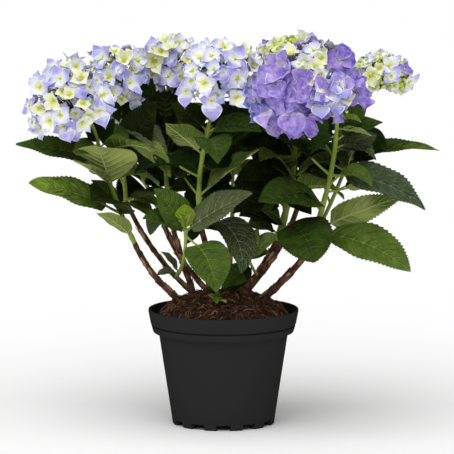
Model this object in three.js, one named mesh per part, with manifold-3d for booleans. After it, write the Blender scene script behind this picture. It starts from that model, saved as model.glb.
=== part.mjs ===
// A mophead hydrangea shrub in its three-litre nursery pot.
// Millimetres, +Z up. The pot's axis is the Z axis, the floor is z = 0 and the shrub's front faces -Y.
// Woody canes fan out of the soil mound. Each carries a green shoot with opposite leaves, and most
// shoots end in a round head of four-sepalled florets.

import * as THREE from "three";
import Module from "manifold-3d";
import { mergeVertices } from "three/addons/utils/BufferGeometryUtils.js";

const wasm = await Module();
wasm.setup();

// Driving dimensions: the pot
const POT_HEIGHT = 146.5;
const RIM_RADIUS = 95;
const RIM_LIP = 2.8;
const BAND_RADIUS = 88.8;
const BAND_FOOT = 117.5;
const BAND_RIDGE = 126.5;
const BAND_STEP = 3;
const BODY_TOP_RADIUS = 81.6;
const BODY_FOOT_RADIUS = 64.6;
const POT_WALL = 2.2;
const POT_FLOOR = 10;
const POT_SIDES = 32;
const FOOT_COUNT = 12;
const FOOT_HEIGHT = 7;
const FOOT_DEPTH = 11;
const FOOT_NOTCH_ANGLE = 16;

// Driving dimensions: the soil mound
const SOIL_EDGE = 132;
const SOIL_TOP = 169;
const MOUND_RADIUS = 84;
const MOUND_RINGS = [0.94, 0.84, 0.66, 0.4, 0];
const MOUND_FLATNESS = 0.75;

// Driving dimensions: limbs, and the gap between neighbouring solids
const GAP = 0.3;
const CANE_SIDES = 7;
const STEM_SIDES = 6;
const LIMB_STEPS = 5;
const FLARE = 0.3;
const FLARE_SHORTNESS = 10;

// Driving dimensions: leaves
const LEAF_WIDTH = 0.62;
const LEAF_THICKNESS = 1 / 55;
const LEAF_FOLD = 14;
const PETIOLE_RADIUS = 1.7;
const STATIONS = [0.1, 0.3, 0.52, 0.76];
const FEW_STATIONS = [0.14, 0.42, 0.74];
const LEAF_TRIES = 8;
const SAMPLE_ROWS = 10;

// Driving dimensions: the room that the ruled leaves keep to
const LEAF_CLEARANCE = 7;
const OWN_LEAF_CLEARANCE = 5;
const HEAD_CLEARANCE = 5;
const CROWN_FLOOR = 262;
const CROWN_FLOOR_SLOPE = 0.2;
const CROWN_LEFT = -178;
const CROWN_RIGHT = 192;
const CROWN_DEPTH = 195;

// Driving dimensions: flower heads
const FLORET_THICKNESS = 2.4;
const FLORET_CUP = 0.16;
const CORE_SIZE = 0.76;
const PEDICEL_RADIUS = 1.5;
const GOLDEN_ANGLE = 137.508;
const HEAD_SPREAD = 122;
const HEAD_LIFT = 0.6;
const HEAD_SEED = 31;

// Each shoot: a woody cane from its foot past its bend to the node, and a green stem from the node past
// lift to its top. radii are those of the stem's foot and top. A shoot without a cane of its own grows
// from its neighbour's.
// leaves: those that can be told apart from the front, each from its place along the green stem (0 to 1)
// to its tip, with its petiole's length, its width as a share of its length, its droop and its roll.
// pairs: how many opposite pairs the rule adds, and the heading of the first.
const shoots = [
  {
    name: "left_low", cane: { foot: [-46, -14, 151], bend: [-95, -10, 189], radius: 4.6 },
    node: [-112, -8, 231], lift: [-138, -26, 286], top: [-159, -46, 372], radii: [3.7, 2.6],
    leaves: [
      { at: 0.06, tip: [-158, -34, 276], petiole: 8, width: 0.46, droop: 25, roll: 20 },
      { at: 0.27, tip: [-240, -72, 320], petiole: 22, width: 0.37, droop: 18, roll: -50 },
      { at: 0.45, tip: [-156, -86, 363], petiole: 8, width: 1.05, droop: 10, roll: 0 },
      { at: 0.8, tip: [-266, -44, 363], petiole: 14, width: 0.42, droop: 14, roll: -42 },
      { at: 0.9, tip: [-120, 6, 372], petiole: 8, width: 0.7, droop: 30, roll: 40 },
    ],
    pairs: 4, heading: 60,
  },
  {
    name: "left", cane: { foot: [-32, 16, 158], bend: [-92, 15, 208], radius: 3.9 },
    node: [-123, 16, 281], lift: [-127, 22, 322], top: [-129, 34, 384], radii: [3.1, 2.4],
    leaves: [
      { at: 0.5, tip: [-66, -16, 305], petiole: 16, width: 0.42, droop: 95, roll: 25 },
      { at: 0.62, tip: [-70, 14, 325], petiole: 16, width: 0.4, droop: 80, roll: 25 },
      { at: 0.5, tip: [-84, -2, 410], petiole: 10, width: 0.5, droop: 8, roll: 84 },
      { at: 0.04, tip: [-78, 2, 276], petiole: 10, width: 0.5, droop: 40, roll: 30 },
      { at: 0.02, tip: [-80, -2, 242], petiole: 10, width: 0.5, droop: 50, roll: 40 },
    ],
    pairs: 4, heading: 110,
  },
  {
    name: "left_middle", cane: { foot: [-35, 1, 156], bend: [-49, 0, 198], radius: 6.2 },
    node: [-63, 10, 244], lift: [-78, 44, 300], top: [-72, 82, 390], radii: [3.6, 2.6],
    leaves: [
      { at: 0.7, tip: [-24, 26, 404], petiole: 8, width: 0.62, droop: 14, roll: 50 },
      { at: 0.8, tip: [-104, 30, 408], petiole: 6, width: 0.6, droop: 20, roll: -55 },
      { at: 0.4, tip: [-36, -6, 298], petiole: 8, width: 0.6, droop: 30, roll: 40 },
      { at: 0.6, tip: [-38, 40, 352], petiole: 6, width: 0.7, droop: 30, roll: 50 },
      { at: 0.66, tip: [-102, 44, 362], petiole: 6, width: 0.7, droop: 30, roll: -55 },
    ],
    pairs: 5, heading: 15,
  },
  {
    name: "centre", cane: { foot: [-18, -10, 160], bend: [-15, -12, 212], radius: 4.8 },
    node: [-28, -16, 250], lift: [-37, -24, 310], top: [-17, -38, 388], radii: [4.1, 2.9],
    leaves: [
      { at: 0.08, tip: [22, -73, 202], petiole: 28, width: 0.58, droop: 112, roll: 4 },
      { at: 0.34, tip: [43, -44, 354], petiole: 34, width: 0.55, droop: 6, roll: 20 },
      { at: 0.34, tip: [-92, 0, 345], petiole: 28, width: 0.55, droop: 30, roll: -30 },
      { at: 0.72, tip: [-72, -58, 388], petiole: 9, width: 0.52, droop: 8, roll: 10 },
      { at: 0.72, tip: [38, -8, 377], petiole: 10, width: 0.5, droop: 16, roll: 30 },
      { at: 0.92, tip: [47, -74, 380], petiole: 10, width: 0.52, droop: 45, roll: 35 },
      { at: 0.92, tip: [-66, -24, 410], petiole: 8, width: 0.62, droop: 20, roll: -55 },
      { at: 0.3, tip: [8, 18, 292], petiole: 12, width: 0.55, droop: 40, roll: 30 },
    ],
    pairs: 3, heading: 80,
  },
  {
    name: "right_middle", cane: { foot: [17, 2, 160], bend: [50, 2, 188], radius: 7 },
    node: [68, 4, 232], lift: [98, 20, 318], top: [89, 58, 410], radii: [5.2, 2.8],
    leaves: [
      { at: 0.1, tip: [114, -104, 216], petiole: 26, width: 0.56, droop: 78, roll: 10 },
      { at: 0.04, tip: [30, -36, 254], petiole: 12, width: 0.6, droop: 55, roll: -40 },
      { at: 0.26, tip: [12, -18, 270], petiole: 12, width: 0.6, droop: 45, roll: -40 },
      { at: 0.42, tip: [22, -10, 312], petiole: 12, width: 0.6, droop: 50, roll: -45 },
      { at: 0.14, tip: [48, -34, 276], petiole: 8, width: 0.7, droop: 20, roll: -60 },
    ],
    pairs: 6, heading: 35,
  },
  {
    name: "right", cane: { foot: [42, -10, 154], bend: [85, -14, 190], radius: 5.6 },
    node: [105, -20, 220], lift: [139, -42, 313], top: [141, -76, 390], radii: [4.4, 2.9],
    leaves: [
      { at: 0.14, tip: [234, -104, 213], petiole: 20, width: 0.45, droop: 34, roll: 38 },
      { at: 0.16, tip: [227, -62, 296], petiole: 16, width: 0.32, droop: 8, roll: -80 },
      { at: 0.4, tip: [44, -118, 308], petiole: 10, width: 0.46, droop: 28, roll: -30 },
      { at: 0.58, tip: [257, -82, 285], petiole: 18, width: 0.44, droop: 24, roll: 42 },
      { at: 0.58, tip: [48, -84, 385], petiole: 32, width: 0.5, droop: 20, roll: -25 },
      { at: 0.86, tip: [198, -62, 390], petiole: 10, width: 0.66, droop: 30, roll: 35 },
      { at: 0.8, tip: [190, -52, 342], petiole: 10, width: 0.62, droop: 80, roll: 30 },
    ],
    pairs: 2, heading: 75,
  },
  {
    name: "right_side",
    node: [96, -17, 208], lift: [147, 24, 284], top: [180, 6, 406], radii: [3.1, 2.5],
    leaves: [
      { at: 0.69, tip: [271, -8, 349], petiole: 18, width: 0.38, droop: 32, roll: 25 },
      { at: 0.5, tip: [208, 12, 296], petiole: 12, width: 0.5, droop: 60, roll: 0 },
      { at: 0.86, tip: [216, -18, 360], petiole: 6, width: 0.7, droop: 30, roll: 40 },
    ],
    pairs: 4, heading: 64,
  },
  {
    name: "front_bud",
    node: [-60, 16, 185], lift: [-46, -40, 208], top: [-47, -76, 259], radii: [3, 2.4],
    leaves: [
      { at: 0.96, tip: [-89, -106, 319], petiole: 5, width: 0.58, droop: 16, roll: -45 },
      { at: 0.94, tip: [-100, -98, 274], petiole: 5, width: 0.5, droop: 50, roll: -40 },
      { at: 0.96, tip: [35, -109, 308], petiole: 7, width: 0.46, droop: 14, roll: 52 },
      { at: 0.9, tip: [-9, -136, 188], petiole: 12, width: 0.72, droop: 62, roll: 12 },
      { at: 1, tip: [-48, -88, 291], petiole: 1, width: 0.6, droop: 20, roll: 10 },
      { at: 0.14, tip: [-78, -8, 220], petiole: 4, width: 0.5, droop: 20, roll: -40 },
      { at: 0.1, tip: [-84, -10, 190], petiole: 4, width: 0.5, droop: 50, roll: -30 },
    ],
    pairs: 0, heading: 0,
  },
  {
    name: "basal_right",
    node: [44, 2, 188], lift: [36, -16, 198], top: [31, -26, 218], radii: [2.4, 1.8],
    leaves: [
      { at: 0.5, tip: [-2, -48, 180], petiole: 6, width: 0.6, droop: 20, roll: -40 },
      { at: 0.9, tip: [70, -42, 246], petiole: 5, width: 0.62, droop: 20, roll: 50 },
      { at: 1, tip: [44, -24, 252], petiole: 4, width: 0.6, droop: 10, roll: 60 },
    ],
    pairs: 0, heading: 0,
  },
  {
    name: "back_left", cane: { foot: [-13, 30, 158], bend: [-66, 76, 200], radius: 5 },
    node: [-82, 98, 258], lift: [-100, 116, 290], top: [-122, 128, 332], radii: [3.8, 2.6],
    leaves: [],
    pairs: 5, heading: 70,
  },
  {
    name: "back_middle", cane: { foot: [5, 34, 158], bend: [8, 92, 186], radius: 5 },
    node: [10, 120, 226], lift: [14, 130, 275], top: [10, 132, 338], radii: [3.8, 2.2],
    leaves: [],
    pairs: 5, heading: 50,
  },
  {
    name: "back_right", cane: { foot: [20, 20, 160], bend: [74, 80, 200], radius: 5 },
    node: [94, 104, 258], lift: [106, 122, 300], top: [107, 132, 348], radii: [3.8, 2.6],
    leaves: [],
    pairs: 5, heading: 20,
  },
];

// Each flower head: its centre, its radius across, its depth along its axis as a share of that,
// and its florets' count and radius. It grows from the top of the shoot it is named after.
const heads = [
  { shoot: "left_low", centre: [-187, -60, 418], radius: 51, depth: 0.97, florets: 18, size: 19 },
  { shoot: "left", centre: [-136, 46, 434], radius: 42, depth: 0.98, florets: 15, size: 17 },
  { shoot: "left_middle", centre: [-71, 107, 440], radius: 41, depth: 0.98, florets: 15, size: 16 },
  { shoot: "centre", centre: [-4, -42, 441], radius: 46, depth: 0.97, florets: 16, size: 18 },
  { shoot: "right_middle", centre: [86, 72, 458], radius: 41, depth: 0.66, florets: 14, size: 14 },
  { shoot: "right", centre: [106, -118, 439], radius: 70, depth: 0.78, florets: 20, size: 25 },
  { shoot: "right_side", centre: [201, -2, 444], radius: 37, depth: 0.64, florets: 15, size: 15 },
  { shoot: "back_left", centre: [-128, 138, 372], radius: 42, depth: 0.95, florets: 13, size: 18 },
  { shoot: "back_right", centre: [110, 142, 394], radius: 46, depth: 0.95, florets: 14, size: 19 },
];

// A pruned stub beside the right-hand cane
const stub = { foot: [25, -12, 156], tip: [31, -15, 193], radii: [5.6, 5] };

const colours = { pot: 0x232323, soil: 0x33231a, wood: 0x4a342a, leaf: 0x3c5f24, bloom: 0xa9a6e6 };

const radians = THREE.MathUtils.degToRad;
const point = (list) => new THREE.Vector3(...list);

// A repeatable number from 0 to 1 for a place in the rule
function chance(seed, index) {
  const wave = Math.sin(seed * 127.1 + index * 311.7) * 43758.5453;
  return wave - Math.floor(wave);
}

const spread = (seed, index, low, high) => low + (high - low) * chance(seed, index);

// Solids from three.js geometry and back

function solidOf(geometry) {
  const bare = geometry.clone();
  bare.deleteAttribute("normal");
  bare.deleteAttribute("uv");
  const merged = mergeVertices(bare, 1e-4);
  const corners = [];
  for (let i = 0; i < merged.index.count; i += 3) {
    const [a, b, c] = [0, 1, 2].map((k) => merged.index.getX(i + k));
    if (a !== b && b !== c && c !== a) corners.push(a, b, c);
  }
  const mesh = new wasm.Mesh({
    numProp: 3,
    vertProperties: new Float32Array(merged.attributes.position.array),
    triVerts: new Uint32Array(corners),
  });
  return new wasm.Manifold(mesh);
}

// The solid with its faces pointing out, also where its frame came out mirrored
function upright(geometry) {
  const solid = solidOf(geometry);
  if (solid.volume() > 0) return solid;
  const turned = geometry.clone();
  const order = [...turned.index.array];
  for (let i = 0; i < order.length; i += 3) [order[i], order[i + 1]] = [order[i + 1], order[i]];
  turned.setIndex(order);
  return solidOf(turned);
}

function facesToGeometry(corners, faces) {
  const positions = corners.flatMap((corner) => corner.toArray());
  const geometry = new THREE.BufferGeometry();
  geometry.setAttribute("position", new THREE.Float32BufferAttribute(positions, 3));
  geometry.setIndex(faces.flat());
  return geometry;
}

function geometryOf(solid) {
  const mesh = solid.getMesh();
  const geometry = new THREE.BufferGeometry();
  const positions = new THREE.Float32BufferAttribute(mesh.vertProperties, 3);
  geometry.setAttribute("position", positions);
  geometry.setIndex([...mesh.triVerts]);
  geometry.computeVertexNormals();
  return geometry;
}

// The one body that counts: loose scraps are dropped and sealed hollows are filled
function mainBody(solid) {
  const bodies = solid.decompose();
  return bodies.reduce((best, body) => (body.volume() > best.volume() ? body : best));
}

const fuse = (solids) => solids.reduce((sum, solid) => sum.add(solid));

// Limbs

const arc = (start, control, end) =>
  new THREE.QuadraticBezierCurve3(point(start), point(control), point(end));

const stemOf = (shoot) => arc(shoot.node, shoot.lift, shoot.top);

// A tapering round limb along a curve. flare widens its foot, and extra adds to its radius and ends.
function limb(curve, radii, sides, steps, { flare = 0, extra = 0 } = {}) {
  const geometry = new THREE.CylinderGeometry(1, 1, 1, sides, steps);
  const place = geometry.attributes.position;
  const reference = new THREE.Vector3(0.6, -0.8, 0.05);
  for (let i = 0; i < place.count; i += 1) {
    const t = THREE.MathUtils.clamp(place.getY(i) + 0.5, 0, 1);
    const tangent = curve.getTangent(t);
    const side = new THREE.Vector3().crossVectors(tangent, reference).normalize();
    const front = new THREE.Vector3().crossVectors(tangent, side);
    const taper = THREE.MathUtils.lerp(radii[0], radii[1], t);
    const radius = taper * (1 + flare * (1 - t) ** FLARE_SHORTNESS) + extra;
    const spot = curve.getPoint(t);
    spot.addScaledVector(side, place.getX(i) * radius);
    spot.addScaledVector(front, place.getZ(i) * radius);
    if (t === 0) spot.addScaledVector(tangent, -extra);
    if (t === 1) spot.addScaledVector(tangent, extra);
    place.setXYZ(i, spot.x, spot.y, spot.z);
  }
  return upright(geometry);
}

// Leaves

// A leaf's axis at a share s of its blade: it leaves its stem in a heading and bends down evenly
function leafFrame(leaf, s) {
  const turn = radians(leaf.droop);
  const rise = leaf.rise - turn * s;
  const middle = leaf.rise - (turn * s) / 2;
  const bend = Math.abs(turn * s) / 2;
  const chord = leaf.length * s * (bend > 1e-6 ? Math.sin(bend) / bend : 1);
  const out = new THREE.Vector3(Math.cos(leaf.heading), Math.sin(leaf.heading), 0);
  const spot = leaf.root.clone();
  spot.addScaledVector(out, leaf.petiole * Math.cos(leaf.rise) + chord * Math.cos(middle));
  spot.z += leaf.petiole * Math.sin(leaf.rise) + chord * Math.sin(middle);
  const along = out.clone().multiplyScalar(Math.cos(rise));
  along.z = Math.sin(rise);
  const normal = out.clone().multiplyScalar(-Math.sin(rise));
  normal.z = Math.cos(rise);
  normal.applyAxisAngle(along, radians(leaf.roll));
  const side = new THREE.Vector3().crossVectors(along, normal);
  return { spot, along, normal, side };
}

// Half the blade's width along its length, as a share of the widest: ovate with a drawn-out tip
function ovate(s) {
  return Math.min(1, 2.38 * s ** 0.5 * (1 - s) ** 0.8);
}

const halfWidth = (leaf, s) => (leaf.length * leaf.width * ovate(s)) / 2;

// The rise and length that bring a leaf with this petiole and droop to its tip
function leafTo(root, leaf) {
  const reach = new THREE.Vector3().subVectors(point(leaf.tip), root);
  const flat = Math.hypot(reach.x, reach.y);
  const half = radians(leaf.droop) / 2;
  const straight = Math.sqrt(reach.lengthSq() - (leaf.petiole * Math.sin(half)) ** 2);
  const chord = straight - leaf.petiole * Math.cos(half);
  const lag = Math.atan2(chord * Math.sin(half), leaf.petiole + chord * Math.cos(half));
  return {
    ...leaf,
    root,
    stations: STATIONS,
    heading: Math.atan2(reach.y, reach.x),
    rise: Math.atan2(reach.z, flat) + lag,
    length: (chord * half) / Math.sin(half),
  };
}

// Places on the blade and its petiole, used to keep leaves apart
function bladeSamples(leaf) {
  const samples = [];
  for (let row = 1; row <= SAMPLE_ROWS; row += 1) {
    const s = row / SAMPLE_ROWS;
    const { spot, side } = leafFrame(leaf, s);
    for (const across of [-1, -0.5, 0, 0.5, 1]) {
      samples.push(spot.clone().addScaledVector(side, across * halfWidth(leaf, s)));
    }
  }
  return samples;
}

function petioleSamples(leaf) {
  const end = leafFrame(leaf, 0).spot;
  return [0.4, 0.7, 1].map((share) => leaf.root.clone().lerp(end, share));
}

// A leaf as one thin closed shape: rows of four corners (left edge, upper, right edge, lower) from the
// petiole's root inside the stem to the blade's last station, then the tip
function leafSolid(leaf) {
  const fold = Math.tan(radians(LEAF_FOLD));
  const thickness = leaf.length * LEAF_THICKNESS;
  const corners = [];
  const addRow = (centre, frame, half, thick, lift) => {
    const edge = (sign) =>
      centre.clone().addScaledVector(frame.side, sign * half).addScaledVector(frame.normal, lift);
    const face = (sign) => centre.clone().addScaledVector(frame.normal, (sign * thick) / 2);
    corners.push(edge(-1), face(1), edge(1), face(-1));
  };
  const start = leafFrame(leaf, 0);
  addRow(leaf.root, start, PETIOLE_RADIUS, PETIOLE_RADIUS * 2, 0);
  addRow(start.spot, start, PETIOLE_RADIUS * 0.8, PETIOLE_RADIUS * 1.6, 0);
  for (const s of leaf.stations) {
    const frame = leafFrame(leaf, s);
    addRow(frame.spot, frame, halfWidth(leaf, s), thickness, halfWidth(leaf, s) * fold);
  }
  corners.push(leafFrame(leaf, 1).spot);
  const last = corners.length - 1;
  const faces = [[0, 2, 1], [0, 3, 2]];
  for (let row = 0; row + 4 < last; row += 4) {
    for (let k = 0; k < 4; k += 1) {
      const next = (k + 1) % 4;
      faces.push([row + k, row + next, row + 4 + k], [row + next, row + 4 + next, row + 4 + k]);
    }
  }
  for (let k = 0; k < 4; k += 1) faces.push([last - 4 + k, last - 4 + ((k + 1) % 4), last]);
  return upright(facesToGeometry(corners, faces));
}

// The rule for opposite pairs: each pair stands crosswise to the one below it. Each try turns a leaf a
// little further from its place.
function ruledLeaf(shoot, seed, stem, pair, side, attempt) {
  const at = 0.1 + (0.84 * (pair + 0.5)) / shoot.pairs;
  const index = pair * 100 + side * 50 + attempt * 8;
  const stray = 12 + 9 * attempt;
  const heading = shoot.heading + 90 * pair + 180 * side + spread(seed, index, -stray, stray);
  return {
    root: stem.getPoint(at),
    heading: radians(heading),
    rise: radians(spread(seed, index + 1, 18, 50)),
    petiole: spread(seed, index + 2, 14, 28),
    length: spread(seed, index + 3, 84, 112) * (1 - 0.22 * at) * (1 - 0.05 * attempt),
    droop: spread(seed, index + 4, 50, 88),
    width: LEAF_WIDTH,
    roll: spread(seed, index + 5, -34, 34),
    stations: FEW_STATIONS,
  };
}

const near = (samples, others, distance) =>
  samples.some((a) => others.some((b) => a.distanceToSquared(b) < distance * distance));

function insideHead(samples) {
  const close = (spot, head) => spot.distanceTo(point(head.centre)) < head.radius + HEAD_CLEARANCE;
  return samples.some((spot) => heads.some((head) => close(spot, head)));
}

function outsideCrown(samples) {
  const low = (spot) => spot.z < CROWN_FLOOR + CROWN_FLOOR_SLOPE * Math.max(0, spot.y);
  const wide = (spot) => spot.x < CROWN_LEFT || spot.x > CROWN_RIGHT || Math.abs(spot.y) > CROWN_DEPTH;
  return samples.some((spot) => low(spot) || wide(spot));
}

// Whether a leaf of this mass would come too near its own blades or another mass
function blocked(mass, masses, blade, petiole) {
  return masses.some((other) => {
    if (other === mass) return other.blades.some((list) => near(blade, list, OWN_LEAF_CLEARANCE));
    const taken = [other.limbs, ...other.blades];
    return taken.some((list) => near(blade, list, LEAF_CLEARANCE) || near(petiole, list, LEAF_CLEARANCE));
  });
}

function growLeaves() {
  const masses = shoots.map((shoot) => {
    const stem = stemOf(shoot);
    const leaves = shoot.leaves.map((leaf) => leafTo(stem.getPoint(leaf.at), leaf));
    const limbs = [...stem.getPoints(40), ...leaves.flatMap(petioleSamples)];
    return { shoot, stem, leaves, limbs, blades: leaves.map(bladeSamples) };
  });
  const grow = (mass, seed, pair, side) => {
    for (let attempt = 0; attempt < LEAF_TRIES; attempt += 1) {
      const leaf = ruledLeaf(mass.shoot, seed, mass.stem, pair, side, attempt);
      const blade = bladeSamples(leaf);
      const petiole = petioleSamples(leaf);
      if (outsideCrown(blade) || insideHead(blade) || blocked(mass, masses, blade, petiole)) continue;
      mass.leaves.push(leaf);
      mass.blades.push(blade);
      mass.limbs.push(...petiole);
      return;
    }
  };
  masses.forEach((mass, number) => {
    for (let pair = 0; pair < mass.shoot.pairs; pair += 1) {
      grow(mass, number + 1, pair, 0);
      grow(mass, number + 1, pair, 1);
    }
  });
  return masses;
}

// Flower heads

// One floret: four broad sepals in a shallow cup, and a pedicel that ends at a root inside the head
function floretSolid(centre, normal, size, turn, root) {
  const side = new THREE.Vector3(0.31, 0.17, 0.93).cross(normal).normalize();
  const front = new THREE.Vector3().crossVectors(normal, side);
  const at = (angle, radius, height) =>
    centre
      .clone()
      .addScaledVector(side, Math.cos(radians(angle)) * radius)
      .addScaledVector(front, Math.sin(radians(angle)) * radius)
      .addScaledVector(normal, height);
  const corners = [];
  for (let sepal = 0; sepal < 4; sepal += 1) {
    const middle = turn + 90 * sepal;
    corners.push(at(middle - 45, size * 0.42, size * FLORET_CUP * 0.3));
    corners.push(at(middle - 22, size * 0.98, size * FLORET_CUP));
    corners.push(at(middle + 22, size * 0.98, size * FLORET_CUP));
  }
  const rim = corners.length;
  for (let k = 0; k < 3; k += 1) {
    corners.push(at(turn + 120 * k + 15, PEDICEL_RADIUS, -FLORET_THICKNESS));
  }
  corners.push(centre, root);
  const faces = [];
  for (let k = 0; k < rim; k += 1) {
    const next = (k + 1) % rim;
    faces.push([rim + 3, k, next], [rim + Math.floor(k / 4), next, k]);
  }
  for (let k = 0; k < 3; k += 1) {
    const next = (k + 1) % 3;
    faces.push([rim + k, rim + next, (4 * k + 4) % rim], [rim + next, rim + k, rim + 4]);
  }
  return upright(facesToGeometry(corners, faces));
}

// The head's axis leans the way its stalk does, lifted towards the light
function headFrame(centre, start) {
  const axis = new THREE.Vector3().subVectors(centre, start).normalize();
  axis.z += HEAD_LIFT;
  axis.normalize();
  const side = new THREE.Vector3(0, 1, 0).cross(axis).normalize();
  const front = new THREE.Vector3().crossVectors(axis, side);
  return { axis, side, front };
}

// The rule for florets: a golden-angle spiral over the dome, from its top to under its brim
function floretPlaces(head, seed, frame) {
  const places = [];
  const lowest = Math.cos(radians(HEAD_SPREAD));
  for (let k = 0; k < head.florets; k += 1) {
    const height = 1 - (1 - lowest) * ((k + 0.5) / head.florets);
    const around = radians(k * GOLDEN_ANGLE);
    const across = Math.sqrt(1 - height * height);
    const out = frame.side.clone().multiplyScalar(Math.cos(around) * across);
    out.addScaledVector(frame.front, Math.sin(around) * across);
    const normal = out.clone().addScaledVector(frame.axis, height + 0.15).normalize();
    out.addScaledVector(frame.axis, height * head.depth);
    const spot = point(head.centre).addScaledVector(out, head.radius * spread(seed, k, 0.93, 1.04));
    places.push({ spot, normal, turn: spread(seed, k + 50, 0, 90) });
  }
  return places;
}

function headSolid(head, seed) {
  const shoot = shoots.find((each) => each.name === head.shoot);
  const stem = stemOf(shoot);
  const end = stem.getTangent(1);
  const start = stem.getPoint(1).addScaledVector(end, GAP);
  const centre = point(head.centre);
  const control = start.clone().addScaledVector(end, start.distanceTo(centre) * 0.4);
  const stalk = new THREE.QuadraticBezierCurve3(start, control, centre);
  const coreRadius = head.radius * CORE_SIZE;
  const core = new THREE.IcosahedronGeometry(coreRadius, 1);
  core.scale(1, 1, head.depth);
  core.translate(centre.x, centre.y, centre.z);
  const parts = [solidOf(core), limb(stalk, [shoot.radii[1], shoot.radii[1] * 0.9], STEM_SIDES, 3)];
  for (const place of floretPlaces(head, seed, headFrame(centre, start))) {
    const root = centre.clone().lerp(place.spot, 0.5);
    parts.push(floretSolid(place.spot, place.normal, head.size, place.turn, root));
  }
  return mainBody(fuse(parts));
}

// Pot and soil

function lathe(profile) {
  const points = profile.map(([radius, height]) => new THREE.Vector2(radius, height));
  const geometry = new THREE.LatheGeometry(points, POT_SIDES);
  geometry.rotateX(Math.PI / 2);
  geometry.rotateZ(Math.PI / POT_SIDES);
  return upright(geometry);
}

const BODY_TOP = BAND_FOOT - BAND_STEP;
const INNER_RIM = { radius: RIM_RADIUS - RIM_LIP - 0.8, height: POT_HEIGHT - 1.5 };
const INNER_BAND = { radius: BAND_RADIUS - POT_WALL - 0.4, height: BAND_FOOT + POT_WALL };

// The outer radius of the pot's tapering body at a height
function bodyRadius(height) {
  return THREE.MathUtils.mapLinear(height, 0, BODY_TOP, BODY_FOOT_RADIUS, BODY_TOP_RADIUS);
}

function potSolid() {
  const innerFoot = BODY_FOOT_RADIUS - FOOT_DEPTH;
  const ridgeShare = (BAND_RIDGE - BAND_FOOT) / (POT_HEIGHT - BAND_FOOT);
  const ridge = THREE.MathUtils.lerp(BAND_RADIUS, RIM_RADIUS, ridgeShare);
  const shell = lathe([
    [0, FOOT_HEIGHT],
    [innerFoot, FOOT_HEIGHT],
    [innerFoot + 1.5, 0],
    [bodyRadius(0) - 1.2, 0],
    [bodyRadius(1.2), 1.2],
    [bodyRadius(BODY_TOP), BODY_TOP],
    [BAND_RADIUS, BAND_FOOT],
    [ridge, BAND_RIDGE],
    [ridge + 1.2, BAND_RIDGE + 1],
    [RIM_RADIUS, POT_HEIGHT - 3],
    [RIM_RADIUS - 0.6, POT_HEIGHT],
    [RIM_RADIUS - RIM_LIP, POT_HEIGHT],
    [INNER_RIM.radius, INNER_RIM.height],
    [INNER_BAND.radius, INNER_BAND.height],
    [bodyRadius(BODY_TOP) - POT_WALL, BODY_TOP],
    [bodyRadius(POT_FLOOR) - POT_WALL, POT_FLOOR],
    [0, POT_FLOOR],
  ]);
  const notchWidth = 2 * BODY_FOOT_RADIUS * Math.tan(radians(FOOT_NOTCH_ANGLE / 2));
  let pot = shell;
  for (let k = 0; k < FOOT_COUNT; k += 1) {
    const notch = new THREE.BoxGeometry(FOOT_DEPTH * 2, notchWidth, FOOT_HEIGHT);
    notch.translate(BODY_FOOT_RADIUS - FOOT_DEPTH / 2, 0, FOOT_HEIGHT / 2 - 0.4);
    notch.rotateZ(radians((360 / FOOT_COUNT) * k));
    pot = pot.subtract(solidOf(notch));
  }
  return mainBody(pot);
}

// The soil fills the pot and rises in a mound, with a socket for each cane
function soilSolid(sockets) {
  const { mapLinear } = THREE.MathUtils;
  const wall = (height) => bodyRadius(height) - POT_WALL - GAP;
  const rimWall = mapLinear(
    SOIL_EDGE, INNER_BAND.height, INNER_RIM.height, INNER_BAND.radius, INNER_RIM.radius,
  );
  const profile = [
    [0, POT_FLOOR + GAP],
    [wall(POT_FLOOR + GAP), POT_FLOOR + GAP],
    [wall(BODY_TOP), BODY_TOP],
    [INNER_BAND.radius - GAP, INNER_BAND.height + GAP],
    [rimWall - GAP, SOIL_EDGE],
  ];
  for (const share of MOUND_RINGS) {
    const swell = Math.cos((share * Math.PI) / 2) ** MOUND_FLATNESS;
    profile.push([share * MOUND_RADIUS, SOIL_EDGE + (SOIL_TOP - SOIL_EDGE) * swell]);
  }
  return mainBody(sockets.reduce((soil, socket) => soil.subtract(socket), lathe(profile)));
}

// Assembly

const plant = new THREE.Group();

function addNode(name, solid, colour, roughness) {
  const material = new THREE.MeshStandardMaterial({ color: colour, roughness, metalness: 0 });
  const mesh = new THREE.Mesh(geometryOf(solid), material);
  mesh.name = name;
  plant.add(mesh);
}

const canes = shoots
  .filter((shoot) => shoot.cane)
  .map(({ name, cane, node, radii }) => ({
    name: `cane_${name}`,
    curve: arc(cane.foot, cane.bend, node),
    radii: [cane.radius, radii[0]],
    steps: LIMB_STEPS,
  }));
canes.push({
  name: "stub_right_middle",
  curve: new THREE.LineCurve3(point(stub.foot), point(stub.tip)),
  radii: stub.radii,
  steps: 1,
});

const clearances = [];
for (const cane of canes) {
  const solid = limb(cane.curve, cane.radii, CANE_SIDES, cane.steps, { flare: FLARE });
  addNode(cane.name, solid, colours.wood, 0.9);
  clearances.push(limb(cane.curve, cane.radii, CANE_SIDES, cane.steps, { flare: FLARE, extra: GAP }));
}

addNode("pot", potSolid(), colours.pot, 0.6);
addNode("soil", soilSolid(clearances), colours.soil, 1);

for (const { shoot, stem, leaves } of growLeaves()) {
  const green = limb(stem, [shoot.radii[0] * 0.92, shoot.radii[1]], STEM_SIDES, LIMB_STEPS);
  const parts = fuse([green, ...leaves.map(leafSolid)]);
  const cleared = clearances.reduce((solid, clearance) => solid.subtract(clearance), parts);
  addNode(`foliage_${shoot.name}`, mainBody(cleared), colours.leaf, 0.7);
}

heads.forEach((head, number) => {
  addNode(`bloom_${head.shoot}`, headSolid(head, number + HEAD_SEED), colours.bloom, 0.8);
});

export default plant;
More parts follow.
